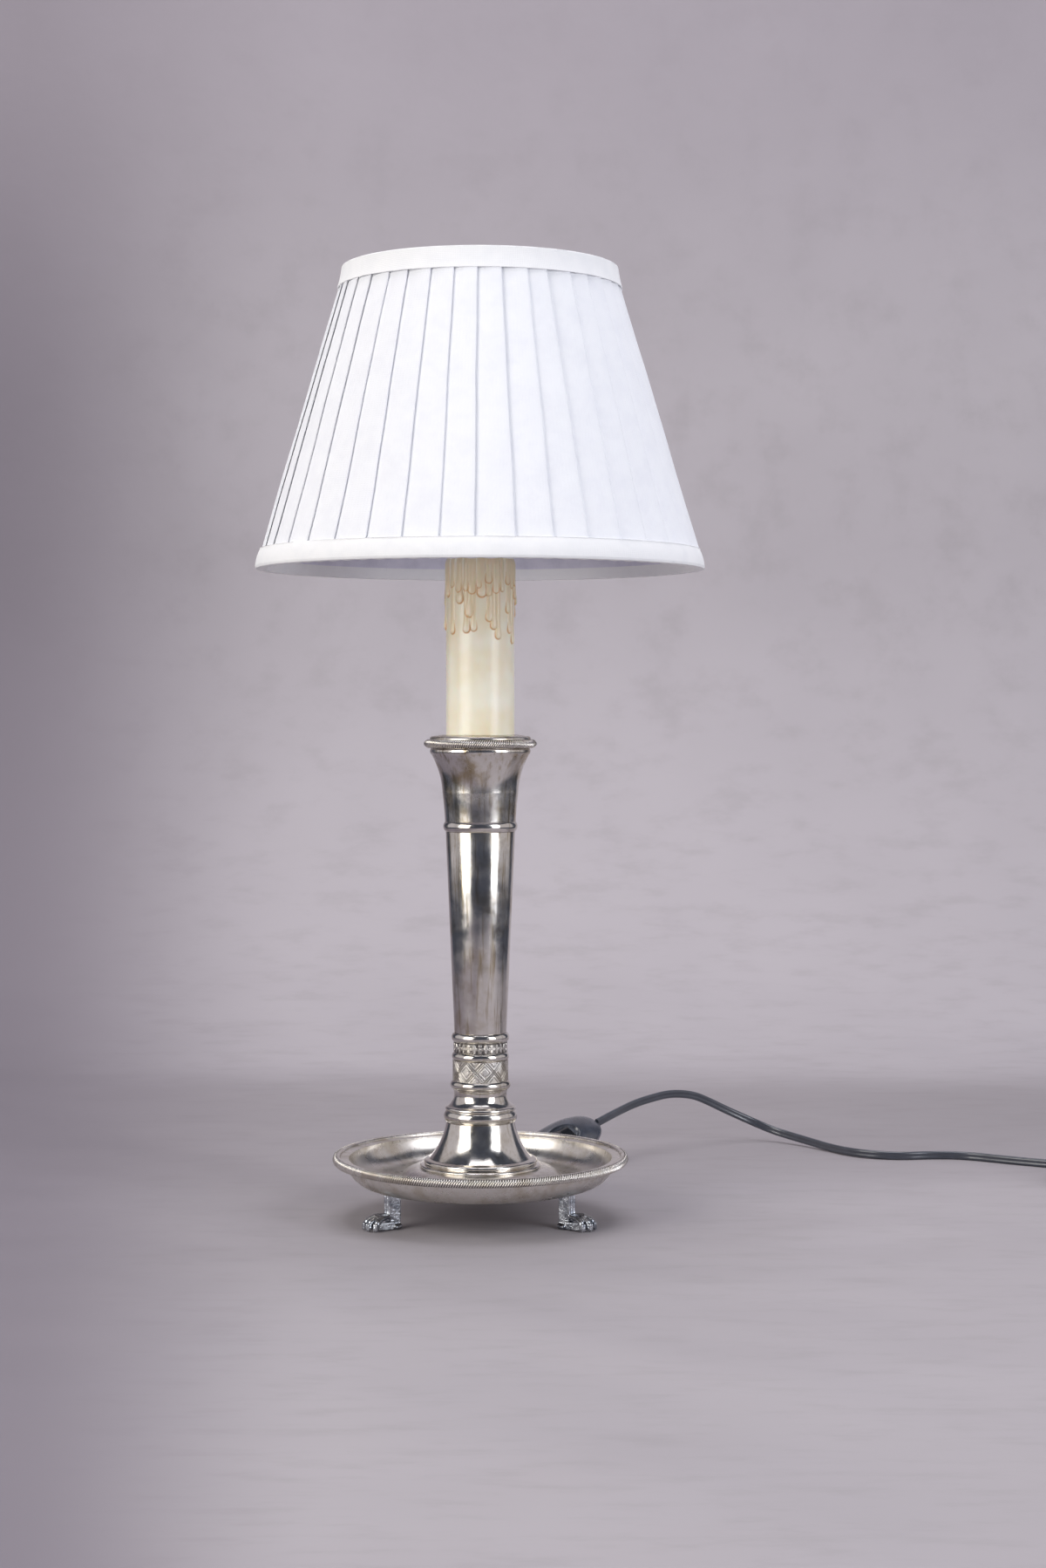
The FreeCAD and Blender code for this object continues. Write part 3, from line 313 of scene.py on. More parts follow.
def sweep(name, path, section, material):
    """Closed section of (sideways, upward) points carried along a path, with flat ends. It
    turns level as soon as the path leaves the upright."""
    ways = np.gradient(path, axis=0)
    ways /= np.linalg.norm(ways, axis=1)[:, None]
    side = np.array(LEAD_SIDE)
    sides = []
    for way in ways:
        level = np.cross(way, (0.0, 0.0, 1.0))
        pull = np.linalg.norm(level)
        side = side - way * (side @ way)
        side /= np.linalg.norm(side)
        if pull > 0.05:
            level *= (1 if level @ side > 0 else -1) / pull
            side = side + (level - side) * min(1, pull) * 0.35
            side -= way * (side @ way)
            side /= np.linalg.norm(side)
        sides.append(side)
    sides = np.array(sides)
    ups = np.cross(sides, ways)
    ups *= np.where(ups[:, 2:] < 0, -1, 1)
    s, u = section[:, 0], section[:, 1]
    points = path[:, None] + sides[:, None] * s[None, :, None] + ups[:, None] * u[None, :, None]
    if np.cross(sides[-1], ups[-1]) @ ways[-1] < 0:
        points = points[:, ::-1]
    return grid_object(name, points, material, caps=True, size=(0.001, 0.002))


# ---------------------------------------------------------------- node trees
def add(tree, kind, inputs=None, **settings):
    """Add a node with its settings. An input given as a socket is linked to it."""
    node = tree.nodes.new(kind)
    for key, value in settings.items():
        setattr(node, key, value)
    for key, value in (inputs or {}).items():
        if isinstance(value, bpy.types.NodeSocket):
            tree.links.new(value, node.inputs[key])
        else:
            node.inputs[key].default_value = value
    return node


def per(size):
    """Texture scale, in cells per metre, for features of a size in millimetres."""
    return 1 / (size * MM)


def ring_tree():
    """Copies of a piece round the stem's axis, each turned and leant a little by chance, with
    the whole swayed a little."""
    tree = bpy.data.node_groups.new("ring of copies", "GeometryNodeTree")
    for label, kind in (("Geometry", "Geometry"), ("Count", "Int"), ("Height", "Float"),
                        ("Turn", "Float"), ("Lean", "Float"), ("Sway", "Float"),
                        ("Seed", "Int"), ("Material", "Material")):
        tree.interface.new_socket(label, in_out="INPUT", socket_type="NodeSocket" + kind)
    tree.interface.new_socket("Geometry", in_out="OUTPUT", socket_type="NodeSocketGeometry")
    given = add(tree, "NodeGroupInput").outputs
    place = add(tree, "ShaderNodeCombineXYZ", {"Z": given["Height"]}).outputs[0]
    points = add(tree, "GeometryNodePoints", {"Count": given["Count"], "Position": place})
    index = add(tree, "GeometryNodeInputIndex").outputs[0]
    step = add(tree, "ShaderNodeMath", {0: TAU, 1: given["Count"]}, operation="DIVIDE")
    swings = []
    for label, shift in (("Turn", 0), ("Lean", 1)):
        least = add(tree, "ShaderNodeMath", {0: given[label], 1: -1.0}, operation="MULTIPLY")
        seed = add(tree, "ShaderNodeMath", {0: given["Seed"], 1: shift}, operation="ADD")
        chance = add(tree, "FunctionNodeRandomValue",
                     {2: least.outputs[0], 3: given[label], "Seed": seed.outputs[0]})
        swings.append(chance.outputs[1])
    turn = add(tree, "ShaderNodeMath", {0: index, 1: step.outputs[0], 2: swings[0]},
               operation="MULTIPLY_ADD")
    angles = add(tree, "ShaderNodeCombineXYZ", {"X": swings[1], "Z": turn.outputs[0]})
    copies = add(tree, "GeometryNodeInstanceOnPoints",
                 {"Points": points.outputs[0], "Instance": given["Geometry"],
                  "Rotation": angles.outputs[0]})
    real = add(tree, "GeometryNodeRealizeInstances", {0: copies.outputs[0]})
    where = add(tree, "GeometryNodeInputPosition").outputs[0]
    waves = add(tree, "ShaderNodeTexNoise",
                {"Vector": where, "Scale": per(55), "Detail": 1.0})
    middle = add(tree, "ShaderNodeVectorMath", {0: waves.outputs["Color"], 1: (0.5, 0.5, 0.5)},
                 operation="SUBTRACT")
    level = add(tree, "ShaderNodeVectorMath", {0: middle.outputs[0], 1: (1.0, 1.0, 0.0)},
                operation="MULTIPLY")
    shift = add(tree, "ShaderNodeVectorMath", {0: level.outputs[0], "Scale": given["Sway"]},
                operation="SCALE")
    swayed = add(tree, "GeometryNodeSetPosition",
                 {"Geometry": real.outputs[0], "Offset": shift.outputs[0]})
    painted = add(tree, "GeometryNodeSetMaterial",
                  {"Geometry": swayed.outputs[0], "Material": given["Material"]})
    add(tree, "NodeGroupOutput", {0: painted.outputs[0]})
    return tree


def ring_of(name, obj, material, count, height, turn=0.0, lean=0.0, sway=0.0, seed=1):
    """One piece made of copies of obj round the axis; height and sway are in millimetres."""
    tree = bpy.data.node_groups.get("ring of copies") or ring_tree()
    modifier = obj.modifiers.new("ring", "NODES")
    modifier.node_group = tree
    values = {"Count": count, "Height": height * MM, "Turn": turn, "Lean": lean,
              "Sway": sway * MM, "Seed": seed, "Material": material}
    for item in tree.interface.items_tree:
        if item.in_out == "INPUT" and item.name in values:
            modifier[item.identifier] = values[item.name]
    return finished(obj, name)


# ---------------------------------------------------------------- materials
def new_material(name, **values):
    """Material, its tree and its shader, with the shader's plain values set."""
    material = bpy.data.materials.new(name)
    material.use_nodes = True
    tree = material.node_tree
    shader = tree.nodes["Principled BSDF"]
    for key, value in values.items():
        shader.inputs[key.replace("_", " ")].default_value = value
    return material, tree, shader


def placed(tree, scale=(1, 1, 1), source="Object"):
    """Coordinates in metres, stretched by scale."""
    where = add(tree, "ShaderNodeTexCoord").outputs[source]
    return add(tree, "ShaderNodeMapping", {"Vector": where, "Scale": scale}).outputs[0]


def cloud(tree, size, low=0.4, high=0.65, detail=4.0, stretch=(1, 1, 1), source="Object"):
    """Patches of about a size in millimetres, from 0 below low to 1 above high."""
    noise = add(tree, "ShaderNodeTexNoise", {
        "Vector": placed(tree, stretch, source), "Scale": per(size), "Detail": detail,
        "Roughness": 0.6})
    return add(tree, "ShaderNodeMapRange", {
        "Value": noise.outputs["Fac"], "From Min": low, "From Max": high},
        interpolation_type="SMOOTHSTEP").outputs[0]


def blend(tree, share, under, over, strength=1.0):
    """Mix two colours by a share that strength weakens."""
    weak = add(tree, "ShaderNodeMath", {0: share, 1: strength}, operation="MULTIPLY",
               use_clamp=True)
    return add(tree, "ShaderNodeMix", {0: weak.outputs[0], 6: under, 7: over},
               data_type="RGBA").outputs[2]


def wear(tree, size, low, high):
    """Roughness that wanders between two values in patches of a size in millimetres."""
    return add(tree, "ShaderNodeMapRange", {
        "Value": cloud(tree, size, 0.3, 0.7), "To Min": low, "To Max": high}).outputs[0]


def relief(tree, shader, *layers):
    """Bump from (height socket, depth in millimetres) layers."""
    normal = None
    for height, depth in layers:
        values = {"Height": height, "Distance": depth * MM}
        if normal is not None:
            values["Normal"] = normal
        normal = add(tree, "ShaderNodeBump", values).outputs[0]
    tree.links.new(normal, shader.inputs["Normal"])


def join(tree, shader, **sockets):
    """Link sockets to the shader's inputs of the same names."""
    for key, socket in sockets.items():
        tree.links.new(socket, shader.inputs[key.replace("_", " ")])


def silver(name, film, streaks, rough, freckles=0.2, grain=0.0, upright=True):
    """Silver plate, spun or cast, then polished and worn: mirror-like, with yellow-brown film
    in clouds and streaks, dark freckles and fine wiping scratches."""
    tones = bpy.context.scene.lamp_silver
    material, tree, shader = new_material(name, Metallic=1.0)
    long_way = (1, 1, 0.05) if upright else (1, 1, 1)
    tint = blend(tree, cloud(tree, 14, 0.42, 0.7), tuple(tones.bright), tuple(tones.tarnish),
                 film)
    tint = blend(tree, cloud(tree, 2.2, 0.5, 0.72, 3.0, long_way), tint, tuple(tones.tarnish),
                 streaks)
    tint = blend(tree, cloud(tree, 9, 0.55, 0.78, 5.0, long_way), tint, tuple(tones.film),
                 film * 0.8)
    tint = blend(tree, cloud(tree, 0.8, 0.66, 0.72, 2.0), tint, linear("3a362f"), freckles)
    hollow = add(tree, "ShaderNodeAttribute", attribute_name="hollow").outputs["Fac"]
    tint = blend(tree, hollow, tint, linear("24211e"), 0.9)
    worn = wear(tree, 11, rough, rough + 0.12)
    join(tree, shader, Base_Color=tint, Roughness=worn)
    # Wiping scratches, drawn about three times as wide as real ones so that they show
    scratches = cloud(tree, 0.5, 0.55, 0.75, 2.0, (1, 1, 0.03) if upright else (1, 0.06, 1))
    layers = [(cloud(tree, 24, 0.2, 0.8, 2.0), 0.05), (scratches, 0.004)]
    if grain:
        layers.append((cloud(tree, 0.7, 0.3, 0.7, 2.0), grain))
    relief(tree, shader, *layers)
    return material


def cast_foot():
    """Plated cast metal, worn grey: soft glints over a slightly pitted skin, with dark specks."""
    material, tree, shader = new_material("cast_plated_metal", Metallic=1.0)
    tint = blend(tree, cloud(tree, 4, 0.4, 0.65), linear("c8ccd1"), linear("8b9098"))
    tint = blend(tree, cloud(tree, 1.2, 0.6, 0.72, 2.0), tint, linear("2e3136"), 0.6)
    join(tree, shader, Base_Color=tint,
         Roughness=wear(tree, 3, 0.16, 0.3))
    relief(tree, shader, (cloud(tree, 1.5, 0.3, 0.7, 3.0), 0.06))
    return material


def plain_metal(name, bright, dull, rough):
    """Small turned or drawn metal part: even sheen with slight handling marks."""
    material, tree, shader = new_material(name, Metallic=1.0)
    join(tree, shader,
         Base_Color=blend(tree, cloud(tree, 6), linear(bright), linear(dull), 0.6),
         Roughness=wear(tree, 3, rough - 0.06, rough + 0.1))
    relief(tree, shader, (cloud(tree, 0.6, 0.3, 0.7, 2.0), 0.004))
    return material


def moulded(name, tone, worn, rough, grain=0.01):
    """Moulded plastic: a clear sheen over a fine grain, paler in patches; on the lead, switch and
    plug the paler patches are painted sheen.
    """
    material, tree, shader = new_material(name, Coat_Weight=1.0, Coat_Roughness=0.2)
    join(tree, shader, Base_Color=blend(tree, cloud(tree, 7, 0.4, 0.7), tone, linear(worn), 0.5),
         Roughness=wear(tree, 4, rough - 0.05, rough + 0.08))
    relief(tree, shader, (cloud(tree, 0.4, 0.3, 0.7, 2.0), grain))
    return material


def woven(name, tone, shadow, thread, sheen):
    """Plain-woven cloth: matt, a little uneven, with its threads just visible close up."""
    material, tree, shader = new_material(name, Roughness=0.9, Sheen_Weight=sheen,
                                          Sheen_Roughness=0.5)
    join(tree, shader, Base_Color=blend(tree, cloud(tree, 12, 0.35, 0.75), tone,
                                        linear(shadow), 0.5))
    # One wave is a thread over and a thread under; a wave texture's scale counts 20 / TAU waves
    weave = []
    for axis in ("X", "Y"):
        waves = add(tree, "ShaderNodeTexWave", {
            "Vector": placed(tree, source="UV"), "Scale": per(2 * thread) * TAU / 20,
            "Distortion": 0.4}, bands_direction=axis)
        weave.append(waves.outputs["Fac"])
    over = add(tree, "ShaderNodeMath", {0: weave[0], 1: weave[1]}, operation="MAXIMUM")
    relief(tree, shader, (cloud(tree, 20, 0.2, 0.8, 2.0), 0.25), (over.outputs[0], 0.05))
    return material


def candle_wax():
    """Candle sleeve dipped in wax: creamy and faintly shiny, beige where the wax has run, and
    amber round the ends of the drips, partly the wax's own tone and partly painted shade in the
    crease where each drop meets the tube."""
    tones = bpy.context.scene.lamp_candle
    material, tree, shader = new_material(
        "dipped_candle_wax", Roughness=0.3, Subsurface_Weight=0.15, Subsurface_Scale=0.003,
        Coat_Weight=0.2, Coat_Roughness=0.25)
    wax = add(tree, "ShaderNodeAttribute", attribute_name="wax").outputs["Fac"]
    edge = add(tree, "ShaderNodeAttribute", attribute_name="edge").outputs["Fac"]
    tint = blend(tree, cloud(tree, 22, 0.3, 0.7, 2.0), tuple(tones.wax), linear("f9ebcb"))
    tint = blend(tree, wax, tint, tuple(tones.runs), 0.85)
    # Amber round the drip ends: partly painted shade in the crease where each drop meets the tube
    tint = blend(tree, edge, tint, tuple(tones.edges), 0.9)
    join(tree, shader, Base_Color=tint)
    relief(tree, shader, (cloud(tree, 5, 0.3, 0.7, 3.0), 0.06))
    return material


def opal_glass():
    """White-coated bulb glass: smooth, glossy and slightly see-through at the surface."""
    material, tree, shader = new_material(
        "opal_glass", Roughness=0.25, Subsurface_Weight=0.3, Subsurface_Scale=0.01,
        Coat_Weight=0.8, Coat_Roughness=0.05)
    join(tree, shader, Base_Color=blend(tree, cloud(tree, 30), linear("f4f2ee"),
                                        linear("ebe8e2")))
    return material


def paper():
    """Wide paper sweep: matt and faintly creased, with painted shade: slight over the floor,
    darker in a band before its bend, a painted shadow at its left edge and darker at its top."""
    tone = tuple(bpy.context.scene.lamp_stage.paper)
    material, tree, shader = new_material("paper_sweep", Roughness=0.95)
    spot = add(tree, "ShaderNodeSeparateXYZ", {0: placed(tree)})
    across = add(tree, "ShaderNodeMath", {0: spot.outputs["X"], 1: CAMERA_PLACE[0]},
                 operation="SUBTRACT")
    away = add(tree, "ShaderNodeMath", {0: spot.outputs["Y"], 1: CAMERA_PLACE[1]},
               operation="SUBTRACT")
    slope = add(tree, "ShaderNodeMath", {0: across.outputs[0], 1: away.outputs[0]},
                operation="DIVIDE")
    along = add(tree, "ShaderNodeMath", {0: spot.outputs["Y"], 1: spot.outputs["Z"]},
                operation="ADD").outputs[0]
    beside = add(tree, "ShaderNodeMath", {0: along, 1: 0.33}, operation="SUBTRACT")
    from_band = add(tree, "ShaderNodeMath", {0: beside.outputs[0]}, operation="ABSOLUTE")
    tint = blend(tree, cloud(tree, 420, 0.3, 0.7, 3.0), tone, linear("b3adb1"), 0.7)
    tint = blend(tree, cloud(tree, 45, 0.45, 0.75, 5.0, (1.0, 3.0, 1.0)), tint,
                 linear("a39d9f"), 0.35)
    # Painted shade: slight over the floor, darker in a band before the bend, a painted shadow at the
    # left edge of the view, and darker towards the top of the wall
    painted_shade_bands = ((along, 0.62, 0.46, "857f80", 0.2),
             (from_band.outputs[0], 0.3, 0.1, "7f777a", 0.35),
             (slope.outputs[0], -0.07, -0.205, "867f87", 1.0),
             (spot.outputs["Z"], 0.55, 0.95, "a49ca3", 0.7))
    for value, start, end, code, strength in painted_shade_bands:
        share = add(tree, "ShaderNodeMapRange", {
            "Value": value, "From Min": start, "From Max": end},
            interpolation_type="SMOOTHSTEP")
        tint = blend(tree, share.outputs[0], tint, linear(code), strength)
    join(tree, shader, Base_Color=tint)
    creases = cloud(tree, 260, 0.3, 0.7, 2.0, (1.0, 1.0, 0.5))
    relief(tree, shader, (creases, 6.0), (cloud(tree, 60, 0.2, 0.8, 3.0), 0.4))
    return material


def build_materials():
    """All finishes, each under the short name that pieces ask for."""
    shade, lead = bpy.context.scene.lamp_shade, bpy.context.scene.lamp_lead
    # Tone of the lead, switch and plug: lighter than their black plastic, as painted sheen
    dark = tuple(lead.colour)
    return {
        "column": silver("silver_plate_column", 0.45, 0.7, 0.12, 0.25),
        "nozzle": silver("silver_plate_nozzle", 0.8, 0.6, 0.16, 0.3),
        "bright": silver("silver_plate_bright", 0.3, 0.3, 0.1, 0.15),
        "dish": silver("silver_plate_dish", 0.4, 0.15, 0.24, 0.25, upright=False),
        "cover": silver("silver_plate_cover", 0.7, 0.3, 0.22, 0.3, upright=False),
        "rope": silver("silver_plate_rope", 0.35, 0.2, 0.2, 0.2, upright=False),
        "chased": silver("silver_plate_chased", 0.35, 0.2, 0.22, 0.3, 0.03),
        "foot": cast_foot(),
        "candle": candle_wax(),
        "cotton": woven("pleated_cotton", tuple(shade.cotton), "eeeff5", 0.5, 0.15),
        "lining": woven("smooth_lining", tuple(shade.lining), "d2d1e2", 0.4, 0.3),
        "tape": woven("cotton_tape", tuple(shade.tape), "eff0f2", 0.7, 0.15),
        "enamelled": moulded("enamelled_wire", linear("e4e2de"), "cfccc6", 0.35),
        "opal": opal_glass(),
        "cap": plain_metal("nickel_plated_cap", "d6d4d0", "a9a7a3", 0.25),
        "black_glass": moulded("black_glass", linear("0d0d10"), "15151a", 0.12, 0.0),
        "filament": plain_metal("tungsten_wire", "9a9a9c", "6d6d70", 0.4),
        "spring": plain_metal("brassed_spring_wire", "cdb98a", "9c8a62", 0.28),
        "zinc": plain_metal("zinc_plated_steel", "b9bcc0", "85888c", 0.32),
        "brass": plain_metal("brass_contact", "c99f56", "8f6d38", 0.3),
        "nickel": plain_metal("nickel_plated_pin", "d4d2cb", "a5a39d", 0.2),
        "nylon": moulded("black_nylon", linear("17171a"), "29292d", 0.5, 0.02),
        "phenolic": moulded("black_phenolic", linear("1a1a1c"), "2c2c30", 0.35),
        "steatite": moulded("white_steatite", linear("e2dfd6"), "cfcbc0", 0.6, 0.02),
        # Paler patches on the switch, plug and lead: painted sheen
        "switch": moulded("switch_abs", dark, "4a505c", 0.3),
        "rocker": moulded("rocker_abs", linear("08080a"), "0c0c0e", 0.16, 0.0),
        "plug": moulded("plug_pvc", dark, "43464f", 0.48, 0.02),
        "lead": moulded("lead_pvc", dark, "454a55", 0.33),
        "paper": paper(),
    }


FINISH = {}


def finish(key):
    """A finish by its name; all of them are made at the first call."""
    if not FINISH:
        FINISH.update(build_materials())
    return FINISH[key]


def dress(obj, node, body="root"):
    """Put a piece on its body; the nodes that it stands in for, if any, are hidden."""
    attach(obj, body)
    if node:
        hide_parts(*node.split())
    return obj


# ---------------------------------------------------------------- stage
def build_stage(settings):
    """Paper sweep, camera and lamps: two tall softboxes in front, one above, and the dim sides
    of the room, which only polished metal shows."""
    half_width = 690.0
    front, bend_start, bend_radius, top = -900.0, 560.0, 430.0, 2300.0
    line = [(front, 0.0), (bend_start, 0.0)]
    line += [(bend_start + bend_radius * math.sin(a), bend_radius * (1 - math.cos(a)))
             for a in np.linspace(0.1, math.pi / 2, 16)]
    line.append((bend_start + bend_radius, top))
    points = np.array([[(x, y, z) for x in (-half_width, half_width)] for y, z in line])
    sheet = grid_object("paper_sweep", points[:, ::-1], finish("paper"), strip=True, sharp=80)

    data = bpy.data.cameras.new("camera")
    data.sensor_width = SENSOR
    data.lens = LENS
    data.clip_end = 50.0
    camera = link(bpy.data.objects.new("camera", data))
    camera.location = CAMERA_PLACE
    camera.rotation_euler = (math.radians(CAMERA_PITCH), 0.0, 0.0)
    bpy.context.scene.camera = camera

    level = settings.level
    aim = (0, 0, 0.45)
    softbox("softbox_left", (-1.32, -1.07, 0.76), aim, (1.1, 1.5), 4.4 * level, "fffcf7")
    softbox("softbox_right", (1.32, -1.07, 0.76), aim, (0.75, 1.5), 4.9 * level, "f6f8ff")
    softbox("softbox_top", (0.05, 0.05, 2.15), (0, 0.05, 0), (2.0, 1.4), 3.1 * level, "fbfaff")
    softbox("room_left", (-2.1, 0.1, 0.9), aim, (2.4, 1.8), 0.55 * level, "f4ecec")
    softbox("room_right", (2.1, 0.1, 0.9), aim, (2.4, 1.8), 0.55 * level, "f4ecec")

    world = bpy.data.worlds.new("studio")
    world.use_nodes = True
    dusk = world.node_tree.nodes["Background"]
    dusk.inputs["Color"].default_value = linear("474b57")
    bpy.context.scene.world = world
    bpy.context.scene.view_settings.view_transform = "Standard"


def softbox(name, place, target, size, radiance, tone):
    """Soft light of an even radiance, aimed at a target."""
    data = bpy.data.lights.new(name, "AREA")
    data.shape = "RECTANGLE"
    data.size, data.size_y = size
    data.energy = radiance * math.pi * size[0] * size[1]
    data.color = linear(tone)[:3]
    obj = link(bpy.data.objects.new(name, data))
    obj.location = place
    obj.rotation_euler = (Vector(target) - Vector(place)).to_track_quat("-Z", "Y").to_euler()


# ---------------------------------------------------------------- lead
def coil_route(cord_width):
    """Points of the coil's turns, in, up a layer and out again, its way out, and its centre."""
    last, before = np.array(ROUTE_TO_COIL[-1]), np.array(ROUTE_TO_COIL[-2])
    way = (last - before) / np.linalg.norm(last - before)
    lean = math.atan(COIL_STEP / (TAU * COIL_OUTER))
    first = math.atan2(way[1], way[0]) + math.pi / 2 + lean
    start = last + way * cord_width
    centre = start - COIL_OUTER * np.array([math.cos(first), math.sin(first), 0])
    leg = (COIL_TURNS - 0.5) / 2
    points = []
    for k in range(int(COIL_TURNS * COIL_POINTS) + 1):
        turned = k / COIL_POINTS
        part = min(1.0, max(0.0, (turned - leg) / 0.5))
        inward = min(turned, leg, COIL_TURNS - turned) + 0.5 * part * (1 - part)
        radius = COIL_OUTER - COIL_STEP * inward
        angle = first - TAU * turned
        lift = COIL_STEP * part * part * (3 - 2 * part)
        points.append(centre + np.array([radius * math.cos(angle), radius * math.sin(angle),
                                         lift]))
    heading = first - math.pi / 2 + lean
    out = np.array([math.cos(heading), math.sin(heading), 0])
    return points + [points[-1] + out * cord_width, points[-1] + out * (cord_width + 10)], centre


def spline_path(name, route):
    """The line that a quadratic NURBS spline makes of a route, in millimetres."""
    data = bpy.data.curves.new(name, "CURVE")
    data.dimensions = "3D"
    data.resolution_u = 8
    spline = data.splines.new("NURBS")
    spline.points.add(len(route) - 1)
    for point, place in zip(spline.points, route):
        point.co = tuple(c * MM for c in place) + (1.0,)
    spline.order_u = 3
    spline.use_endpoint_u = True
    mesh = plain_mesh(link(bpy.data.objects.new(name, data)))
    path = np.array([v.co[:] for v in mesh.vertices]) / MM
    bpy.data.curves.remove(data)
    bpy.data.meshes.remove(mesh)
    return path[np.append(True, np.linalg.norm(np.diff(path, axis=0), axis=1) > 0.05)]


def twin_section(width, thickness, count=24):
    """Flat two-core lead, set on edge: a long oval with a shallow groove down each side."""
    turn = around(count)
    up = np.sin(turn) * width / 2
    waist = 1 - 0.3 * np.exp(-(up / (0.16 * width)) ** 2)
    side = squared(np.cos(turn), 0.7) * thickness / 2 * waist
    return np.stack([side, up], 1)


def build_lead(settings):
    """Both lengths of the flat lead, with the switch between them, the coil and the plug."""
    width, thickness = settings.width / MM, settings.thickness / MM
    section = twin_section(width, thickness)
    coil, centre = coil_route(width)
    short = spline_path("lamp_route", ROUTE_TO_SWITCH)
    long = spline_path("floor_route", ROUTE_TO_COIL + coil + ROUTE_AFTER_COIL)
    lamp_lead = dress(sweep("lamp_lead", short, section, finish("lead")), "cord_to_switch")
    floor_lead = dress(sweep("floor_lead", long, section, finish("lead")),
                       "cord_to_coil cord_coil cord_to_plug")
    switch = build_switch()
    plug = build_plug()
    strap = build_strap(centre)


# ---------------------------------------------------------------- switch
SWITCH_HALF = (36.0, 14.0)
SWITCH_PLACE = (46.5, 150.0)
SWITCH_ROLL = math.radians(36)
SWITCH_LIFT = math.radians(14)
SWITCH_TURN = math.radians(47.5)
RECESS = (12.9, 7.4)
SLOT = (9.1, 5.3)
SWITCH_SIDES = 144


def switch_place(points):
    """From the switch's own axes to where it leans, its far end lifted by the lead."""
    turn = (Matrix.Rotation(SWITCH_TURN, 3, "Z") @ Matrix.Rotation(-SWITCH_LIFT, 3, "Y")
            @ Matrix.Rotation(SWITCH_ROLL, 3, "X"))
    return points @ np.array(turn).T + np.array([*SWITCH_PLACE, SWITCH_Z])


def switch_outline(turn):
    """Long oval of the case, a little fuller than an ellipse."""
    return np.stack([squared(np.cos(turn), 0.87) * SWITCH_HALF[0],
                     squared(np.sin(turn), 0.87) * SWITCH_HALF[1]], 1)


def switch_height(xy):
    """How far the rounded case stands from its middle plane at a point."""
    oval, edge = 2.3, 2.4
    middle, taper = 8.45, 3.9
    x, y = np.abs(xy[:, 0]) / SWITCH_HALF[0], np.abs(xy[:, 1]) / SWITCH_HALF[1]
    out = np.clip((x ** oval + y ** oval) ** (edge / oval), 0, 1)
    return (middle - taper * x ** 2) * (1 - out) ** (1 / edge)


def switch_half(name, side, node):
    """Half of the case, closed at the middle plane; the upper half has the rocker's recess."""
    turn = around(SWITCH_SIDES)
    oval = np.stack([np.cos(turn), np.sin(turn)], 1)
    edge = switch_outline(turn)
    rings = []
    if side > 0:
        slot = squared(oval, 0.25) * np.array(SLOT)
        for scale, z in ((0.02, 1.3), (0.96, 1.3), (1.0, 1.6), (1.0, 5.7), (1.03, 6.0)):
            rings.append(np.column_stack([slot * scale, np.full(len(turn), z)]))
        rings.append(np.column_stack([oval * np.array(RECESS) * 0.9, np.full(len(turn), 6.1)]))
        for scale, drop in ((0.97, 0.9), (1.0, 0.12), (1.03, 0.0)):
            ring = oval * np.array(RECESS) * scale
            rings.append(np.column_stack([ring, switch_height(ring) - drop]))
        inner = oval * np.array(RECESS) * 1.03
    else:
        inner = oval * np.array([0.3, 0.1])
        rings.append(np.column_stack([inner, switch_height(inner)]))
    for share in (0.1, 0.22, 0.35, 0.48, 0.6, 0.7, 0.79, 0.86, 0.92, 0.96, 0.985, 0.997):
        ring = inner * (1 - share) + edge * share
        rings.append(np.column_stack([ring, np.maximum(switch_height(ring), 0.35)]))
    rings.append(np.column_stack([edge * 0.985, np.full(len(turn), 0.12)]))
    rings.append(np.column_stack([edge * 0.3, np.full(len(turn), 0.12)]))
    points = np.array(rings)
    points[..., 2] *= side
    if side > 0:
        points = points[:, ::-1]
    obj = grid_object(name, switch_place(points), finish("switch"), caps=True,
                      size=(0.001, 0.001), sharp=35)
    return dress(obj, node)


def build_switch():
    upper = switch_half("switch_face_half", 1, "switch_case_upper")
    lower = switch_half("switch_back_half", -1, "switch_case_lower")
    return [upper, lower, build_rocker()]


def build_rocker():
    """Rounded rocker with two sloping faces, tilted to one stop."""
    half_length, half_width, pivot = 8.2, 4.9, 2.6
    tilt = math.radians(8)
    rows = []
    for x in np.linspace(-half_length, half_length, 45):
        top = 7.5 + 0.07 * abs(x)
        corner = 0.9 * (1 - math.sqrt(max(0.0, 1 - max(0.0, abs(x) - 7.4) ** 2 / 0.7)))
        arc = [(half_width, 2.3), (half_width, top - 0.9), (half_width - 0.25, top - 0.25),
               (half_width - 0.9, top), (2.4, top - 0.1), (0.0, top - 0.14)]
        arc += [(-y, z) for y, z in arc[4::-1]]
        rows.append([(x, y, min(z, top - corner)) for y, z in arc])
    points = np.array(rows) - np.array([0, 0, pivot])
    points = points @ np.array(Matrix.Rotation(tilt, 3, "Y")).T + np.array([0, 0, pivot])
    obj = grid_object("switch_rocker_cap", switch_place(points), finish("rocker"), caps=True,
                      size=(0.001, 0.001), sharp=50)
    return dress(obj, "switch_rocker", "rocker")


# ---------------------------------------------------------------- plug and strap
PLUG_RELIEF = 22.0
PLUG_LENGTH = 35.0
PLUG_SIDES = 48


def plug_place(points):
    """From the plug's own axes (X towards the pins) to the end of the lead."""
    end, before = np.array(ROUTE_AFTER_COIL[-1]), np.array(ROUTE_AFTER_COIL[-2])
    return about_z(points, math.atan2(end[1] - before[1], end[0] - before[0])) + end


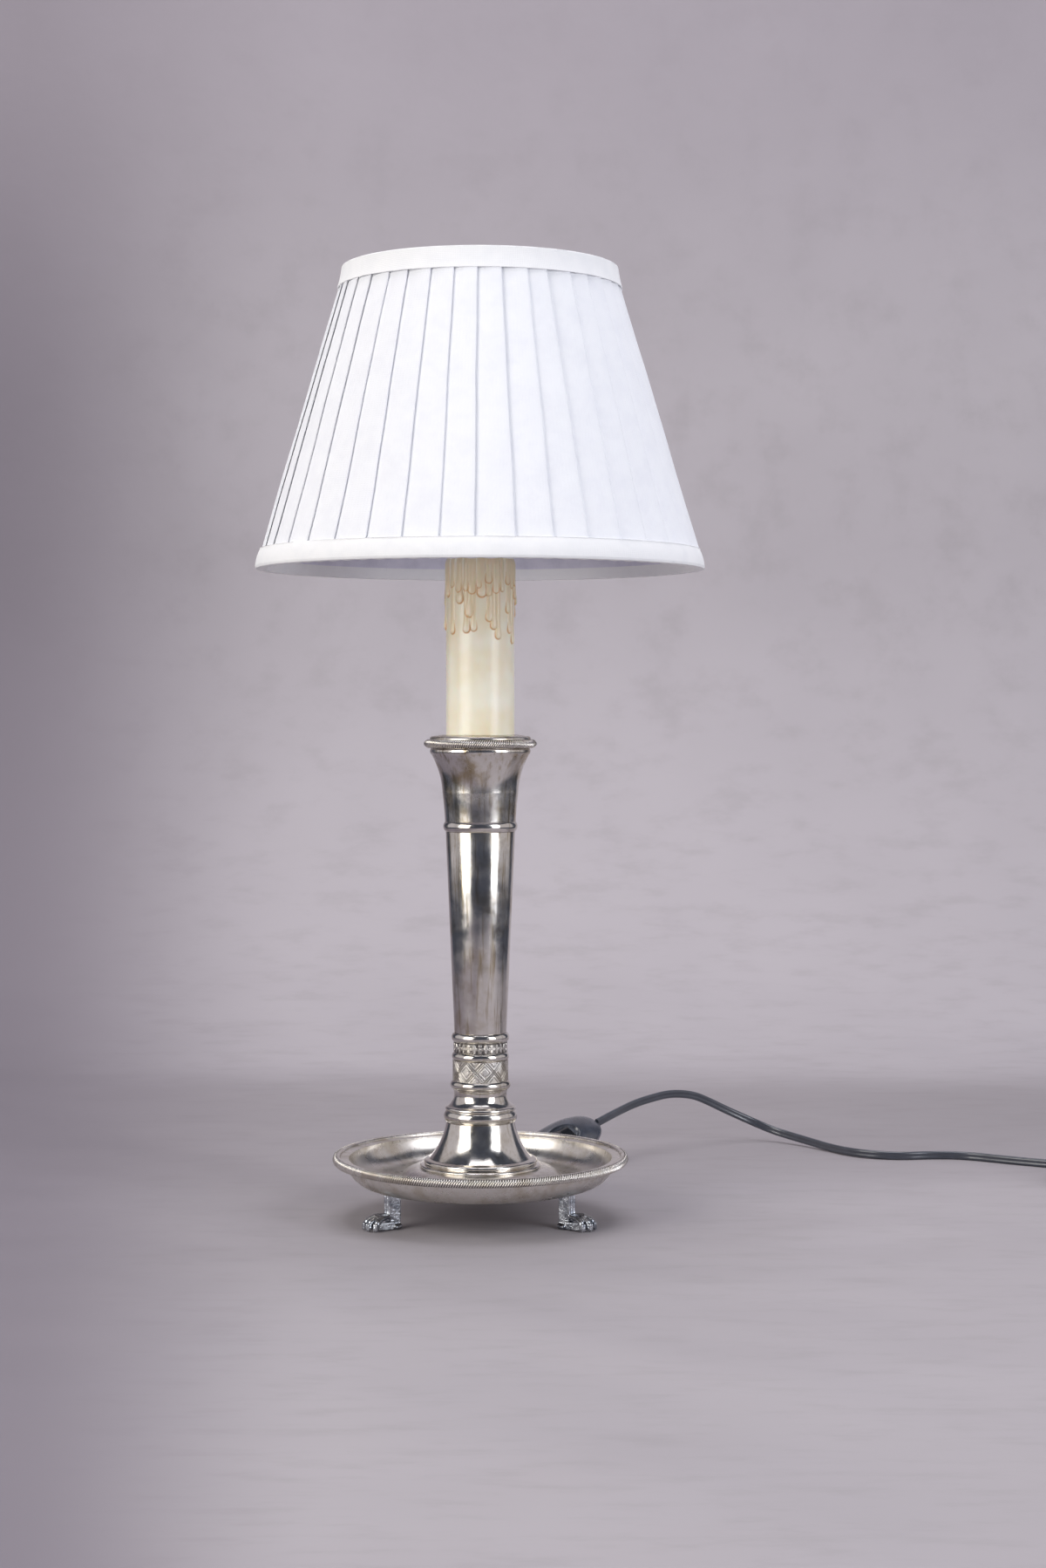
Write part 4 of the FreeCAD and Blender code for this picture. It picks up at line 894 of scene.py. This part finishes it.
def build_plug():
    """Plug with its ribbed sleeve; the pins are the model's own."""
    material = finish("plug")
    rib_pitch, rib_depth, ribbed = 3.2, 0.09, 19.0
    turn = around(PLUG_SIDES)
    xs = np.linspace(0, PLUG_RELIEF, 88)
    ribs = 1 - rib_depth * (np.sin(xs * TAU / rib_pitch) > 0.2) * (xs < ribbed)
    radius = (3.5 + 1.7 * xs / PLUG_RELIEF) * ribs
    points = np.stack([np.repeat(xs[:, None], PLUG_SIDES, 1), radius[:, None] * np.cos(turn),
                       radius[:, None] * np.sin(turn)], -1)
    sleeve = grid_object("plug_sleeve", plug_place(points), material, caps=True,
                         size=(0.001, 0.001), sharp=30)
    dress(sleeve, "plug_relief")
    xs = PLUG_RELIEF + PLUG_LENGTH * np.linspace(0, 1, 60)
    along = (xs - PLUG_RELIEF) / PLUG_LENGTH
    half = 6.6 + 6.4 * np.clip(along / 0.4, 0, 1) ** 0.8 - 1.3 * np.exp(-((along - 0.5) / 0.13) ** 2)
    edge = np.clip(along / 0.03, 0.05, 1) ** 0.4 * np.clip((1 - along) / 0.02, 0.2, 1) ** 0.3
    points = np.stack([
        np.repeat(xs[:, None], PLUG_SIDES, 1),
        squared(np.cos(turn), 0.55) * (half * edge)[:, None],
        squared(np.sin(turn), 0.55) * (PLUG_Z * edge)[:, None]], -1)
    housing = grid_object("plug_housing", plug_place(points), material, caps=True,
                          size=(0.001, 0.001))
    dress(housing, "plug_body")
    return [sleeve, housing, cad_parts["plug_pins"]]


def build_strap(centre):
    """Flat strap round the coil's bundle."""
    outer = -(COIL_OUTER + 3.0)
    inner = -(COIL_OUTER - COIL_STEP * 2.25 - 4.4)
    bottom, top, half_width = 0.4, 12.2, 4.0
    turn = around(56)
    y = (outer + inner) / 2 + squared(np.cos(turn), 0.45) * (inner - outer) / 2
    z = (bottom + top) / 2 + squared(np.sin(turn), 0.45) * (top - bottom) / 2
    rows = [np.stack([np.full_like(y, x), y, z], 1) for x in
            np.linspace(-half_width, half_width, 7)]
    obj = grid_object("coil_strap", np.array(rows) + np.array([centre[0], centre[1], 0]),
                      finish("nylon"), size=(0.001, 0.001))
    obj = finished(obj, "coil_strap", solidify={"thickness": 0.7 * MM, "offset": 0.0})
    return dress(obj, "coil_tie")


# ---------------------------------------------------------------- silver pieces
def turned(node, steps, material, segments=160, soften=0.25):
    """Turned piece in place of a node."""
    return dress(lathe(node + "_turned", steps, finish(material), segments, soften), node)


def build_dish():
    turned("dish", [
        (78.4, 35.4), (73.4, 34.8), (71.2, 27.6, 61.0, 21.6), (51.0, 21.6),
        (47.7, 22.5, 44.4, 24.9), (40.6, 28.0, 35.2, 29.4), (BORE, 29.4),
        (BORE, 27.6), (34.6, 27.6), (39.4, 26.4, 43.2, 23.4), (46.8, 20.8, 50.8, 19.8),
        (61.4, 19.8), (72.7, 26.4, 75.2, 33.2), (78.4, 33.6),
    ], "dish", 288, 0.5)


def darken(obj, radius):
    """Dark film in the gaps between strands, outside a radius in millimetres."""
    places = np.empty(len(obj.data.vertices) * 3)
    obj.data.vertices.foreach_get("co", places)
    film = np.hypot(places[0::3], places[1::3]) > radius * MM
    attribute = obj.data.attributes.new("hollow", "FLOAT", "POINT")
    attribute.data.foreach_set("value", film.astype(np.float32))


def rope(name, count, radius, low, high, bulge, slant, thick, seed):
    """Corded edge: slanting strands, side by side, over a rounded edge."""
    steps, sides = 13, 8
    t = np.linspace(0, 1, steps)
    ring = around(sides)
    middle = (low + high) / 2
    out = radius - thick / 2 - bulge * (2 * t - 1) ** 2
    turn = (t - 0.5) * slant / radius
    path = np.stack([out * np.cos(turn), out * np.sin(turn), low + (high - low) * t - middle], 1)
    full = np.sqrt(np.clip(1 - ((t - 0.5) / 0.52) ** 4, 0.02, 1))
    way = np.gradient(path, axis=0)
    way /= np.linalg.norm(way, axis=1)[:, None]
    away = np.stack([np.cos(turn), np.sin(turn), 0 * turn], 1)
    across = np.cross(way, away)
    across /= np.linalg.norm(across, axis=1)[:, None]
    # Narrower than its share of the edge, so that a dark gap shows beside each strand
    wide = TAU * radius / count * 0.38
    points = (path[:, None] + away[:, None] * (np.cos(ring)[:, None] * thick / 2
                                               * full[:, None, None])
              + across[:, None] * (np.sin(ring)[:, None] * wide * full[:, None, None]))
    strand = grid_object(name + "_strand", points, caps=True, sharp=80)
    obj = ring_of(name, strand, finish("rope"), count, middle, turn=0.0003, seed=seed)
    return dress(obj, None)


def build_border(settings):
    """Strands round the dish's lip, over a rounded core."""
    core = lathe("dish_border_core", [
        (78.4, 32.4), (79.6, 31.8, 80.6, 32.0), (81.6, 34.15, 80.6, 36.3),
        (79.6, 36.6, 78.4, 35.8),
    ], finish("chased"), 256)
    darken(core, 80.3)
    dress(core, "dish_rope_border")
    rope("dish_border_strands", settings.strands, 82.5, 32.0, 36.5, 0.9, 3.0, 1.3, 3)


def build_stem():
    low = 29.4
    turned("bell_base", [
        (29.8, low), (33.7, low), (33.7, low + 1.2), (33.2, low + 1.8), (31.2, low + 2.1),
        (31.6, 33.1, 30.2, 34.2), (28.6, 34.6), (22.9, 42.9, 19.1, BELL_TOP_Z),
        (17.7, BELL_TOP_Z), (21.5, 42.2, 26.6, 34.0), (29.8, 31.4),
    ], "bright")
    turned("knop_ring", [
        (BORE, BELL_TOP_Z), (19.1, BELL_TOP_Z), (20.5, 57.9, 19.6, 60.9), (19.1, 61.3),
        (19.7, 62.3, 18.9, 63.5), (18.1, KNOP_TOP_Z), (BORE, KNOP_TOP_Z),
    ], "bright", soften=0.15)
    turned("cove_neck", [
        (BORE, KNOP_TOP_Z), (18.1, KNOP_TOP_Z), (15.1, 68.0, 15.3, COVE_TOP_Z),
        (BORE, COVE_TOP_Z),
    ], "bright")
    for node, z0, z1, r0, crown, r1 in (
            ("ring_lower", COVE_TOP_Z, LOWER_RING_TOP_Z, 15.3, 16.9, 15.6),
            ("ring_middle", DRUM_TOP_Z, MIDDLE_RING_TOP_Z, 15.0, 16.0, 15.0),
            ("ring_upper", FRIEZE_TOP_Z, UPPER_RING_TOP_Z, 15.0, 16.1, 15.0),
            ("column_bead", COLUMN_TOP_Z, BEAD_TOP_Z, 19.4, 20.7, 19.7)):
        turned(node, [(BORE, z0), (r0, z0), (crown, (z0 + z1) / 2, r1, z1), (BORE, z1)],
               "bright")
    turned("column", [
        (BORE, UPPER_RING_TOP_Z), (14.6, UPPER_RING_TOP_Z), (19.3, COLUMN_TOP_Z),
        (BORE, COLUMN_TOP_Z), (BORE, COLUMN_TOP_Z - 3), (17.9, COLUMN_TOP_Z - 3),
        (13.2, UPPER_RING_TOP_Z + 3), (BORE, UPPER_RING_TOP_Z + 3),
    ], "column", soften=0.4)
    chased_band("guilloche_drum", 15.5, LOWER_RING_TOP_Z, DRUM_TOP_Z, lozenges, 900, 90)
    chased_band("frieze_band", 15.0, MIDDLE_RING_TOP_Z, FRIEZE_TOP_Z, leaf_frieze, 900, 52)


def chased_band(node, radius, low, high, pattern, cols, rows):
    """Band with a chased pattern; the pattern gives how far each point sinks, in mm."""
    turn = around(cols)
    up = np.linspace(0, 1, rows)[:, None]
    sink = pattern(turn[None, :] / TAU, up)
    sink = sink * np.clip(np.minimum(up, 1 - up) * (high - low) / 0.3, 0, 1)
    out = radius - sink
    z = np.broadcast_to(low + (high - low) * up, out.shape)
    skin = np.stack([out * np.cos(turn), out * np.sin(turn), z], -1)
    inner = np.stack([BORE * np.cos(turn), BORE * np.sin(turn), 0 * turn], -1)
    points = np.concatenate([[inner + (0, 0, low)], skin, [inner + (0, 0, high)]])
    dark = np.zeros(points.shape[:2])
    dark[1:-1] = np.clip(sink / 0.28, 0, 1) ** 1.5 * 0.75
    obj = grid_object(node + "_chased", points, finish("chased"), loop=True, sharp=70,
                      values={"hollow": dark})
    dress(obj, node)


def groove(distance, width):
    """Share of a groove's full depth at a distance from its middle."""
    return np.exp(-(distance / width) ** 2)


def lozenges(u, v):
    """Crossed double lines that leave lozenges, with smaller ones and a punched ground inside."""
    count = 9
    a, b = u * count + v, u * count - v
    near_a = np.abs((a + 0.5) % 1 - 0.5)
    near_b = np.abs((b + 0.5) % 1 - 0.5)
    lines = np.maximum(groove(near_a - 0.06, 0.028), groove(near_b - 0.06, 0.028))
    inner = np.minimum(near_a, near_b)
    small = 0.75 * groove(inner - 0.24, 0.028)
    ground = 0.25 * (np.sin(u * TAU * 150) * np.sin(v * 52) > 0.25) * (inner > 0.27)
    ground = ground + 0.2 * (np.sin(u * TAU * 190 + 1) * np.sin(v * 66) > 0.35) * (inner < 0.17)
    return 0.36 * np.maximum(np.maximum(lines, small), ground)


def leaf_frieze(u, v):
    """Small four-petalled stars between upright leaves, on a sunk ground."""
    count = 14
    x = ((u * count) % 1 - 0.5) * 6.73
    y = (v - 0.5) * 6.1
    r, t = np.hypot(x, y), np.arctan2(y, x)
    star = 2.2 * np.abs(np.cos(2 * t)) ** 0.6 + 0.25 - r
    beside = np.abs(x) - 3.36
    leaf = np.sqrt(np.clip(1 - (y / 2.5) ** 2, 0, 1)) - np.abs(beside)
    raised = np.clip(np.maximum(star, leaf) / 0.35 + 0.5, 0, 1)
    vein = groove(beside, 0.16) * (np.abs(y) < 2.2) * 0.5
    heart = groove(r - 0.55, 0.15) * 0.7
    return 0.34 * (1 - raised) + 0.2 * np.maximum(vein, heart)


def build_nozzle():
    turned("nozzle", [
        (BORE, BEAD_TOP_Z), (19.7, BEAD_TOP_Z), (20.2, 229.5, 21.1, 238.5),
        (22.9, 249.2, 27.2, 259.6), (28.0, 261.4, 27.2, NOZZLE_TOP_Z), (25.7, NOZZLE_TOP_Z),
        (25.7, 260.0), (21.5, 249.8, 19.7, 239.0), (18.8, 229.8, 18.3, 224.2),
        (BORE, 224.2),
    ], "nozzle")
    core = lathe("nozzle_collar_core", [
        (BORE, 266.1), (24.5, 266.1), (24.5, NOZZLE_TOP_Z), (28.9, NOZZLE_TOP_Z),
        (30.5, 265.55, 28.9, COLLAR_TOP_Z), (BORE, COLLAR_TOP_Z),
    ], finish("chased"), 192)
    darken(core, 29.2)
    dress(core, "nozzle_rope_collar")
    rope("nozzle_collar_strands", 150, 31.4, 263.4, 267.8, 1.5, 3.2, 1.5, 5)
    turned("nozzle_cover", [
        (BORE, COLLAR_TOP_Z), (28.2, COLLAR_TOP_Z), (27.7, 269.2, 26.0, 269.7),
        (21.0, COVER_TOP_Z), (BORE, COVER_TOP_Z),
    ], "cover")


# ---------------------------------------------------------------- feet
def capsule(start, end, r0, r1, rings=10, cols=16):
    """Closed rounded bar between two points, as rings of points and their faces."""
    start, end = np.array(start, float), np.array(end, float)
    way = (end - start) / np.linalg.norm(end - start)
    side = np.cross(way, (0.31, 0.57, 0.76))
    side /= np.linalg.norm(side)
    up = np.cross(way, side)
    tip = math.pi / 2 - 0.1
    stations = [(start, r0, -a) for a in np.linspace(tip, 0, rings // 2)]
    stations += [(end, r1, a) for a in np.linspace(0, tip, rings // 2)]
    turn = around(cols)
    ring = np.cos(turn)[:, None] * side + np.sin(turn)[:, None] * up
    rows = [centre + way * radius * math.sin(a) + ring * radius * math.cos(a)
            for centre, radius, a in stations]
    faces = [[i * cols + j, i * cols + (j + 1) % cols, (i + 1) * cols + (j + 1) % cols,
              (i + 1) * cols + j] for i in range(len(rows) - 1) for j in range(cols)]
    count = len(rows) * cols
    caps = [list(range(cols))[::-1], list(range(count - cols, count))]
    return np.concatenate(rows), faces + caps


def block(x0, x1, y0, y1, z0, z1):
    """Corners and faces of a box."""
    corners = [(x, y, z) for x in (x0, x1) for y in (y0, y1) for z in (z0, z1)]
    faces = [[0, 1, 3, 2], [4, 6, 7, 5], [0, 4, 5, 1], [2, 3, 7, 6], [0, 2, 6, 4],
             [1, 5, 7, 3]]
    return np.array(corners), faces


def paw_parts():
    """Square post with a moulded outer edge, over a paw with four toes, claws and a heel."""
    half = 3.3
    parts = [block(-half, half, -half, half, 0.4, 19.75)]
    for y in (-1, 1):
        parts.append(capsule((half - 0.2, y * half * 0.8, 7.0), (half - 0.2, y * half * 0.8, 19.0),
                             0.85, 0.85))
        parts.append(capsule((-2.4, y * 3.4, 1.6), (0.4, y * 4.3, 1.5), 1.5, 1.4))
    parts.append(capsule((half, 0, 8.4), (half - 0.3, 0, 19.0), 0.75, 0.75))
    parts.append(block(1.0, 10.5, -4.3, 4.3, 0.2, 4.4))
    for spread, reach in ((-26, 13.2), (-9, 14.6), (9, 14.6), (26, 13.2)):
        a = math.radians(spread)
        c, s = math.cos(a), math.sin(a)
        ankle = (3.6, s * 5.4, 7.3)
        knuckle = (1.2 + 0.62 * reach * c, reach * s * 0.66, 6.9)
        bend = (1.2 + reach * c * 0.93, reach * s * 0.93, 5.0)
        ball = (1.2 + reach * c, reach * s, 2.1)
        parts.append(capsule(ankle, knuckle, 1.2, 1.6))
        parts.append(capsule(knuckle, bend, 1.6, 1.55))
        parts.append(capsule(bend, ball, 1.55, 1.7))
        for side in (-0.75, 0.75):
            claw = (1.2 + (reach + 0.9) * c - s * side, (reach + 0.9) * s + c * side)
            parts.append(capsule((*claw, 4.0), (claw[0] + 0.3 * c, claw[1] + 0.3 * s, 1.1),
                                 0.75, 0.6))
    return parts


def build_feet():
    """Three paws, each a set of overlapping forms melted into one cast piece."""
    verts, faces = [], []
    for points, polygons in paw_parts():
        base = sum(len(v) for v in verts)
        verts.append(points)
        faces += [[i + base for i in polygon] for polygon in polygons]
    verts = np.concatenate(verts)
    for node, degrees in (("foot_left", 210.0), ("foot_right", 330.0), ("foot_rear", 90.0)):
        turn = math.radians(degrees)
        centre = FOOT_RADIUS * np.array([math.cos(turn), math.sin(turn), 0])
        obj = mesh_object(node + "_loose", about_z(verts, turn) + centre, faces, finish("foot"))
        obj = finished(obj, node + "_cast",
                       remesh={"mode": "VOXEL", "voxel_size": 0.3 * MM, "use_smooth_shade": True},
                       smooth={"factor": 0.5, "iterations": 1})
        coords = np.empty(len(obj.data.vertices) * 3)
        obj.data.vertices.foreach_get("co", coords)
        coords[2::3] = np.clip(coords[2::3], 0.0, FOOT_TOP_Z * MM)
        obj.data.vertices.foreach_set("co", coords)
        dress(obj, node)


# ---------------------------------------------------------------- candle
# Drips on the front: angle from the front in degrees, height of the tip, half width
FRONT_DRIPS = (
    (-88, 341.8, 1.6), (-85, 328.4, 1.9), (-67.8, 346.5, 1.7), (-52.2, 326.0, 2.2),
    (-35.5, 342.7, 2.4), (-22.5, 326.5, 2.1), (-16.5, 335.1, 2.5), (-10, 327.4, 1.8),
    (3.5, 346.0, 2.6), (15, 346.5, 1.8), (16.5, 332.7, 2.2), (24, 328.4, 2.0),
    (32, 323.1, 1.9), (53.4, 337.5, 1.9), (58.4, 326.5, 2.0), (67.8, 320.8, 1.8),
    (81, 345.6, 2.0),
)


def wax_runs():
    """All runs of wax, as angle, tip height, half width and bulge."""
    rng = np.random.default_rng(11)
    runs = [(math.radians(angle - 90), tip, half, rng.uniform(0.9, 1.5))
            for angle, tip, half in FRONT_DRIPS]
    for k in range(17):
        angle = math.radians(95 + k * 10.2 - 90 + rng.uniform(-3, 3))
        runs.append((angle, rng.uniform(321, 347), rng.uniform(1.6, 2.5),
                     rng.uniform(0.9, 1.5)))
    for k in range(28):
        angle = TAU * (k + rng.uniform(-0.3, 0.3)) / 28
        runs.append((angle, rng.uniform(345, 356), rng.uniform(1.3, 2.2),
                     rng.uniform(0.5, 0.9)))
    return runs


def build_candle():
    """Tube with runs of wax down its outside that end in rounded drops."""
    low, skin_top, lip = COVER_TOP_Z, SLEEVE_TOP_Z - 1.4, 4.6
    cols, rows = 460, 330
    turn = around(cols)
    z = low + (skin_top - low) * np.linspace(0, 1, rows) ** 0.6
    zz, tt = np.meshgrid(z, turn, indexing="ij")
    height, edge, wax = np.zeros_like(zz), np.zeros_like(zz), np.zeros_like(zz)
    for angle, tip, half, bulge in wax_runs():
        across = ((tt - angle + math.pi) % TAU - math.pi) * SLEEVE_RADIUS
        centre = tip + half
        above = np.clip(zz - centre, 0, None)
        below = np.clip(centre - zz, 0, None)
        wide = half * (0.72 + 0.28 * np.exp(-(above / 4.0) ** 2))
        out = np.sqrt((across / wide) ** 2 + (below / half) ** 2)
        swell = 0.45 + 0.55 * np.exp(-(above / 5.0) ** 2)
        shape = bulge * swell * np.sqrt(np.clip(1 - out ** 2, 0, 1))
        top = shape > height
        height = np.maximum(height, shape)
        # Ring round each drop's end, coloured amber by the edge attribute: partly painted shade in
        # the crease where the drop meets the tube
        near = np.clip(1 - above / (2.6 * half), 0, 1)
        ring = np.exp(-((out - 0.99) / 0.17) ** 2) * near
        edge = np.where(top, ring, np.maximum(edge, ring))
        wax = np.maximum(wax, (out < 1.05) * np.clip(above / 9 + 0.35, 0, 1))
    round_in = np.clip((zz - skin_top) / lip + 1, 0, 1)
    radius = SLEEVE_RADIUS - 0.1 + height * (1 - round_in)
    radius = radius - 1.7 * (1 - np.sqrt(np.clip(1 - round_in ** 2, 0, 1)))
    skin = np.stack([radius * np.cos(tt), radius * np.sin(tt), zz], -1)
    ring = np.stack([np.cos(turn), np.sin(turn), 0 * turn], -1)
    inside = [(radius[-1].mean() - 0.5, SLEEVE_TOP_Z - 0.4), (SLEEVE_MOUTH, SLEEVE_TOP_Z - 0.3),
              (SLEEVE_MOUTH, SLEEVE_TOP_Z - 1.6), (17.5, SLEEVE_TOP_Z - 3.0), (17.5, low)]
    rings = [ring * r + np.array([0, 0, h]) for r, h in inside]
    points = np.concatenate([skin, rings])
    plain = np.zeros((len(inside), cols))
    obj = grid_object("candle_sleeve_wax", points, finish("candle"), loop=True, sharp=60,
                      values={"edge": np.concatenate([edge, plain]),
                              "wax": np.concatenate([wax, plain + 1])})
    dress(obj, "candle_sleeve")


# ---------------------------------------------------------------- shade
def shade_radius(z):
    """Radius of the shade's cone at a height."""
    return SHADE_REF_RADIUS + (z - SHADE_REF_Z) * SHADE_SLOPE


# Section of one knife pleat: share of the pleat's width, and share of its depth
PLEAT_SECTION = (
    (-0.34, 0.97), (-0.1, 0.81), (0.03, 0.69), (0.2, 0.5), (0.45, 0.28), (0.7, 0.12),
    (0.9, 0.03), (0.975, 0.0), (1.0, 0.08), (1.0, 0.42), (0.97, 0.5), (0.8, 0.54),
    (0.62, 0.6),
)


def build_shade(settings):
    """Pleated cover, lining and the tapes at both edges."""
    pleats, depth = settings.pleats, settings.depth / MM
    low, high = SHADE_BOTTOM_Z + 0.8, SHADE_TOP_Z - 0.6
    middle = (low + high) / 2
    z = np.linspace(low, high, 30)
    section = np.array(PLEAT_SECTION)
    turn = (section[:, 0] - 0.5) * TAU / pleats
    radius = shade_radius(z)[:, None] - 0.3 - depth * section[:, 1]
    points = np.stack([radius * np.cos(turn), radius * np.sin(turn),
                       np.repeat((z - middle)[:, None], len(turn), 1)], -1)
    panel = grid_object("shade_pleat", points[:, ::-1], strip=True, size=(0.0021, 0.0057),
                        sharp=80)
    panel = finished(panel, "shade_pleat", solidify={"thickness": 0.3 * MM, "offset": 1.0})
    cover = ring_of("shade_pleats", panel, finish("cotton"), pleats, middle, turn=0.011,
                    lean=0.008, sway=1.6, seed=4)
    dress(cover, "shade_cover", "shade")

    inset, cloth = 5.2, 0.5
    lining = lathe("shade_inside", [
        (shade_radius(low) - inset, low), (shade_radius(LINING_TOP_Z) - inset, LINING_TOP_Z),
        (shade_radius(LINING_TOP_Z) - inset - cloth, LINING_TOP_Z),
        (shade_radius(low) - inset - cloth, low),
    ], finish("lining"), 240, 0.1)
    dress(lining, "shade_lining", "shade")

    top = tape("shade_top_tape", [
        (shade_radius(516.2) - 0.1, 516.2), (shade_radius(516.2) + 0.7, 516.4),
        (shade_radius(522) + 0.95, 522.0, 77.0, 527.4), (76.2, 528.0), (72.0, 528.0),
        (71.2, 527.5), (75.8, 527.2),
    ], 0.2, 7)
    bottom = tape("shade_bottom_tape", [
        (shade_radius(373.0) - 0.1, 373.0), (shade_radius(372.6) + 0.6, 372.9),
        (shade_radius(368) + 1.2, 368.0, 124.9, 363.2), (124.4, 361.95), (118.4, 361.85),
        (117.0, 368.4), (117.6, 368.6), (119.4, 362.6), (123.4, 362.7),
    ], 0.2, 9)
    dress(top, "shade_top_trim", "shade")
    dress(bottom, "shade_bottom_trim", "shade")


def tape(name, steps, wave, seed):
    """Folded tape round the shade's edge: a little uneven, with its end lapped at one side."""
    rng = np.random.default_rng(seed)
    line = profile(steps, 0.3)
    segments, ripples = 480, 76
    turn = around(segments)
    swell = sum(rng.uniform(0.3, 1) * np.sin(n * turn + rng.uniform(0, TAU))
                for n in (5, 9, 14, 23, 38)) * wave / 4
    seam = (turn - math.radians(217)) % TAU
    swell = swell + 0.45 * np.exp(-(seam / 0.16) ** 2)
    outside = (line[:, :1] > line[:, 0].mean()) * 1.0
    radius = line[:, :1] + (swell - 0.45) * outside
    ripple = 0.22 * np.sin(ripples * turn) * (1 - outside) * (line[:, 1:] < SHADE_REF_Z - 8)
    points = np.stack([radius * np.cos(turn), radius * np.sin(turn), line[:, 1:] + ripple], -1)
    return grid_object(name, points, finish("tape"), loop=True, size=(0.0016, 0.0006), sharp=60)


# ---------------------------------------------------------------- the model's own nodes
CARRIED = {
    "zinc": "stem_rod under_washer lock_washer rod_nuts switch_screws switch_pivot_pin",
    "nylon": "cable_bush",
    "phenolic": "holder_base holder_body",
    "steatite": "holder_insulator",
    "brass": "holder_screw_shell holder_centre_contact holder_terminals switch_contacts",
    "lead": "inner_lead",
    "opal": "bulb_globe",
    "cap": "bulb_cap",
    "black_glass": "bulb_cap_insulator",
    "filament": "bulb_filament",
    "spring": "clip_loops clip_strap clip_bracket pivot_pin wing_nut",
    "enamelled": "shade_wire_frame shade_spider",
    "nickel": "plug_pins",
}


def finish_nodes():
    """Give the model's own visible nodes their finishes."""
    for key, names in CARRIED.items():
        for name in names.split():
            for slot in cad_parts[name].material_slots:
                slot.link = "OBJECT"
                slot.material = finish(key)


# ---------------------------------------------------------------- add-on
class LAMP_OT_stage(bpy.types.Operator):
    """Paper sweep, softboxes and camera"""
    bl_idname = "lamp.stage"
    bl_label = "Stage"

    def execute(self, context):
        build_stage(context.scene.lamp_stage)
        return {"FINISHED"}


class LAMP_OT_lead(bpy.types.Operator):
    """Lead with its switch, coil and plug"""
    bl_idname = "lamp.lead"
    bl_label = "Lead, switch and plug"

    def execute(self, context):
        build_lead(context.scene.lamp_lead)
        return {"FINISHED"}


class LAMP_OT_dish(bpy.types.Operator):
    """Footed dish with its rope edge"""
    bl_idname = "lamp.dish"
    bl_label = "Dish"

    def execute(self, context):
        build_dish()
        build_border(context.scene.lamp_silver)
        return {"FINISHED"}


class LAMP_OT_feet(bpy.types.Operator):
    """Three paw feet"""
    bl_idname = "lamp.feet"
    bl_label = "Feet"

    def execute(self, context):
        build_feet()
        return {"FINISHED"}


class LAMP_OT_stem(bpy.types.Operator):
    """Bell, knop, chased bands, column and nozzle"""
    bl_idname = "lamp.stem"
    bl_label = "Stem"

    def execute(self, context):
        build_stem()
        build_nozzle()
        return {"FINISHED"}


class LAMP_OT_candle(bpy.types.Operator):
    """Candle sleeve with wax drips"""
    bl_idname = "lamp.candle"
    bl_label = "Candle"

    def execute(self, context):
        build_candle()
        return {"FINISHED"}


class LAMP_OT_shade(bpy.types.Operator):
    """Pleated shade with its lining and tapes"""
    bl_idname = "lamp.shade"
    bl_label = "Shade"

    def execute(self, context):
        build_shade(context.scene.lamp_shade)
        return {"FINISHED"}


class LAMP_OT_fittings(bpy.types.Operator):
    """Finishes of the lampholder, bulb, clip and fastenings"""
    bl_idname = "lamp.fittings"
    bl_label = "Fittings"

    def execute(self, context):
        finish_nodes()
        return {"FINISHED"}


class LAMP_PT_sidebar(bpy.types.Panel):
    """Sizes and colours, and a button for each piece"""
    bl_label = "Candlestick lamp"
    bl_idname = "LAMP_PT_sidebar"
    bl_space_type = "VIEW_3D"
    bl_region_type = "UI"
    bl_category = "Lamp"

    def draw(self, context):
        for key in SETTINGS:
            group = getattr(context.scene, key)
            for label in group.__annotations__:
                self.layout.prop(group, label)
        for operator in OPERATORS:
            self.layout.operator(operator.bl_idname)


SETTINGS = {
    "lamp_stage": StageSettings,
    "lamp_silver": SilverSettings,
    "lamp_candle": CandleSettings,
    "lamp_shade": ShadeSettings,
    "lamp_lead": LeadSettings,
}
OPERATORS = (LAMP_OT_stage, LAMP_OT_lead, LAMP_OT_dish, LAMP_OT_feet, LAMP_OT_stem,
             LAMP_OT_candle, LAMP_OT_shade, LAMP_OT_fittings)


def register():
    for key, group in SETTINGS.items():
        bpy.utils.register_class(group)
        setattr(bpy.types.Scene, key, bpy.props.PointerProperty(type=group))
    for cls in OPERATORS + (LAMP_PT_sidebar,):
        bpy.utils.register_class(cls)


def unregister():
    for cls in (LAMP_PT_sidebar,) + OPERATORS:
        bpy.utils.unregister_class(cls)
    for key, group in SETTINGS.items():
        delattr(bpy.types.Scene, key)
        bpy.utils.unregister_class(group)


def main():
    """Build the lamp."""
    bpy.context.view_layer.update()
    register()
    bpy.ops.lamp.stage()
    bpy.ops.lamp.lead()
    bpy.ops.lamp.dish()
    bpy.ops.lamp.feet()
    bpy.ops.lamp.stem()
    bpy.ops.lamp.candle()
    bpy.ops.lamp.shade()
    bpy.ops.lamp.fittings()


if __name__ == "__main__":
    main()
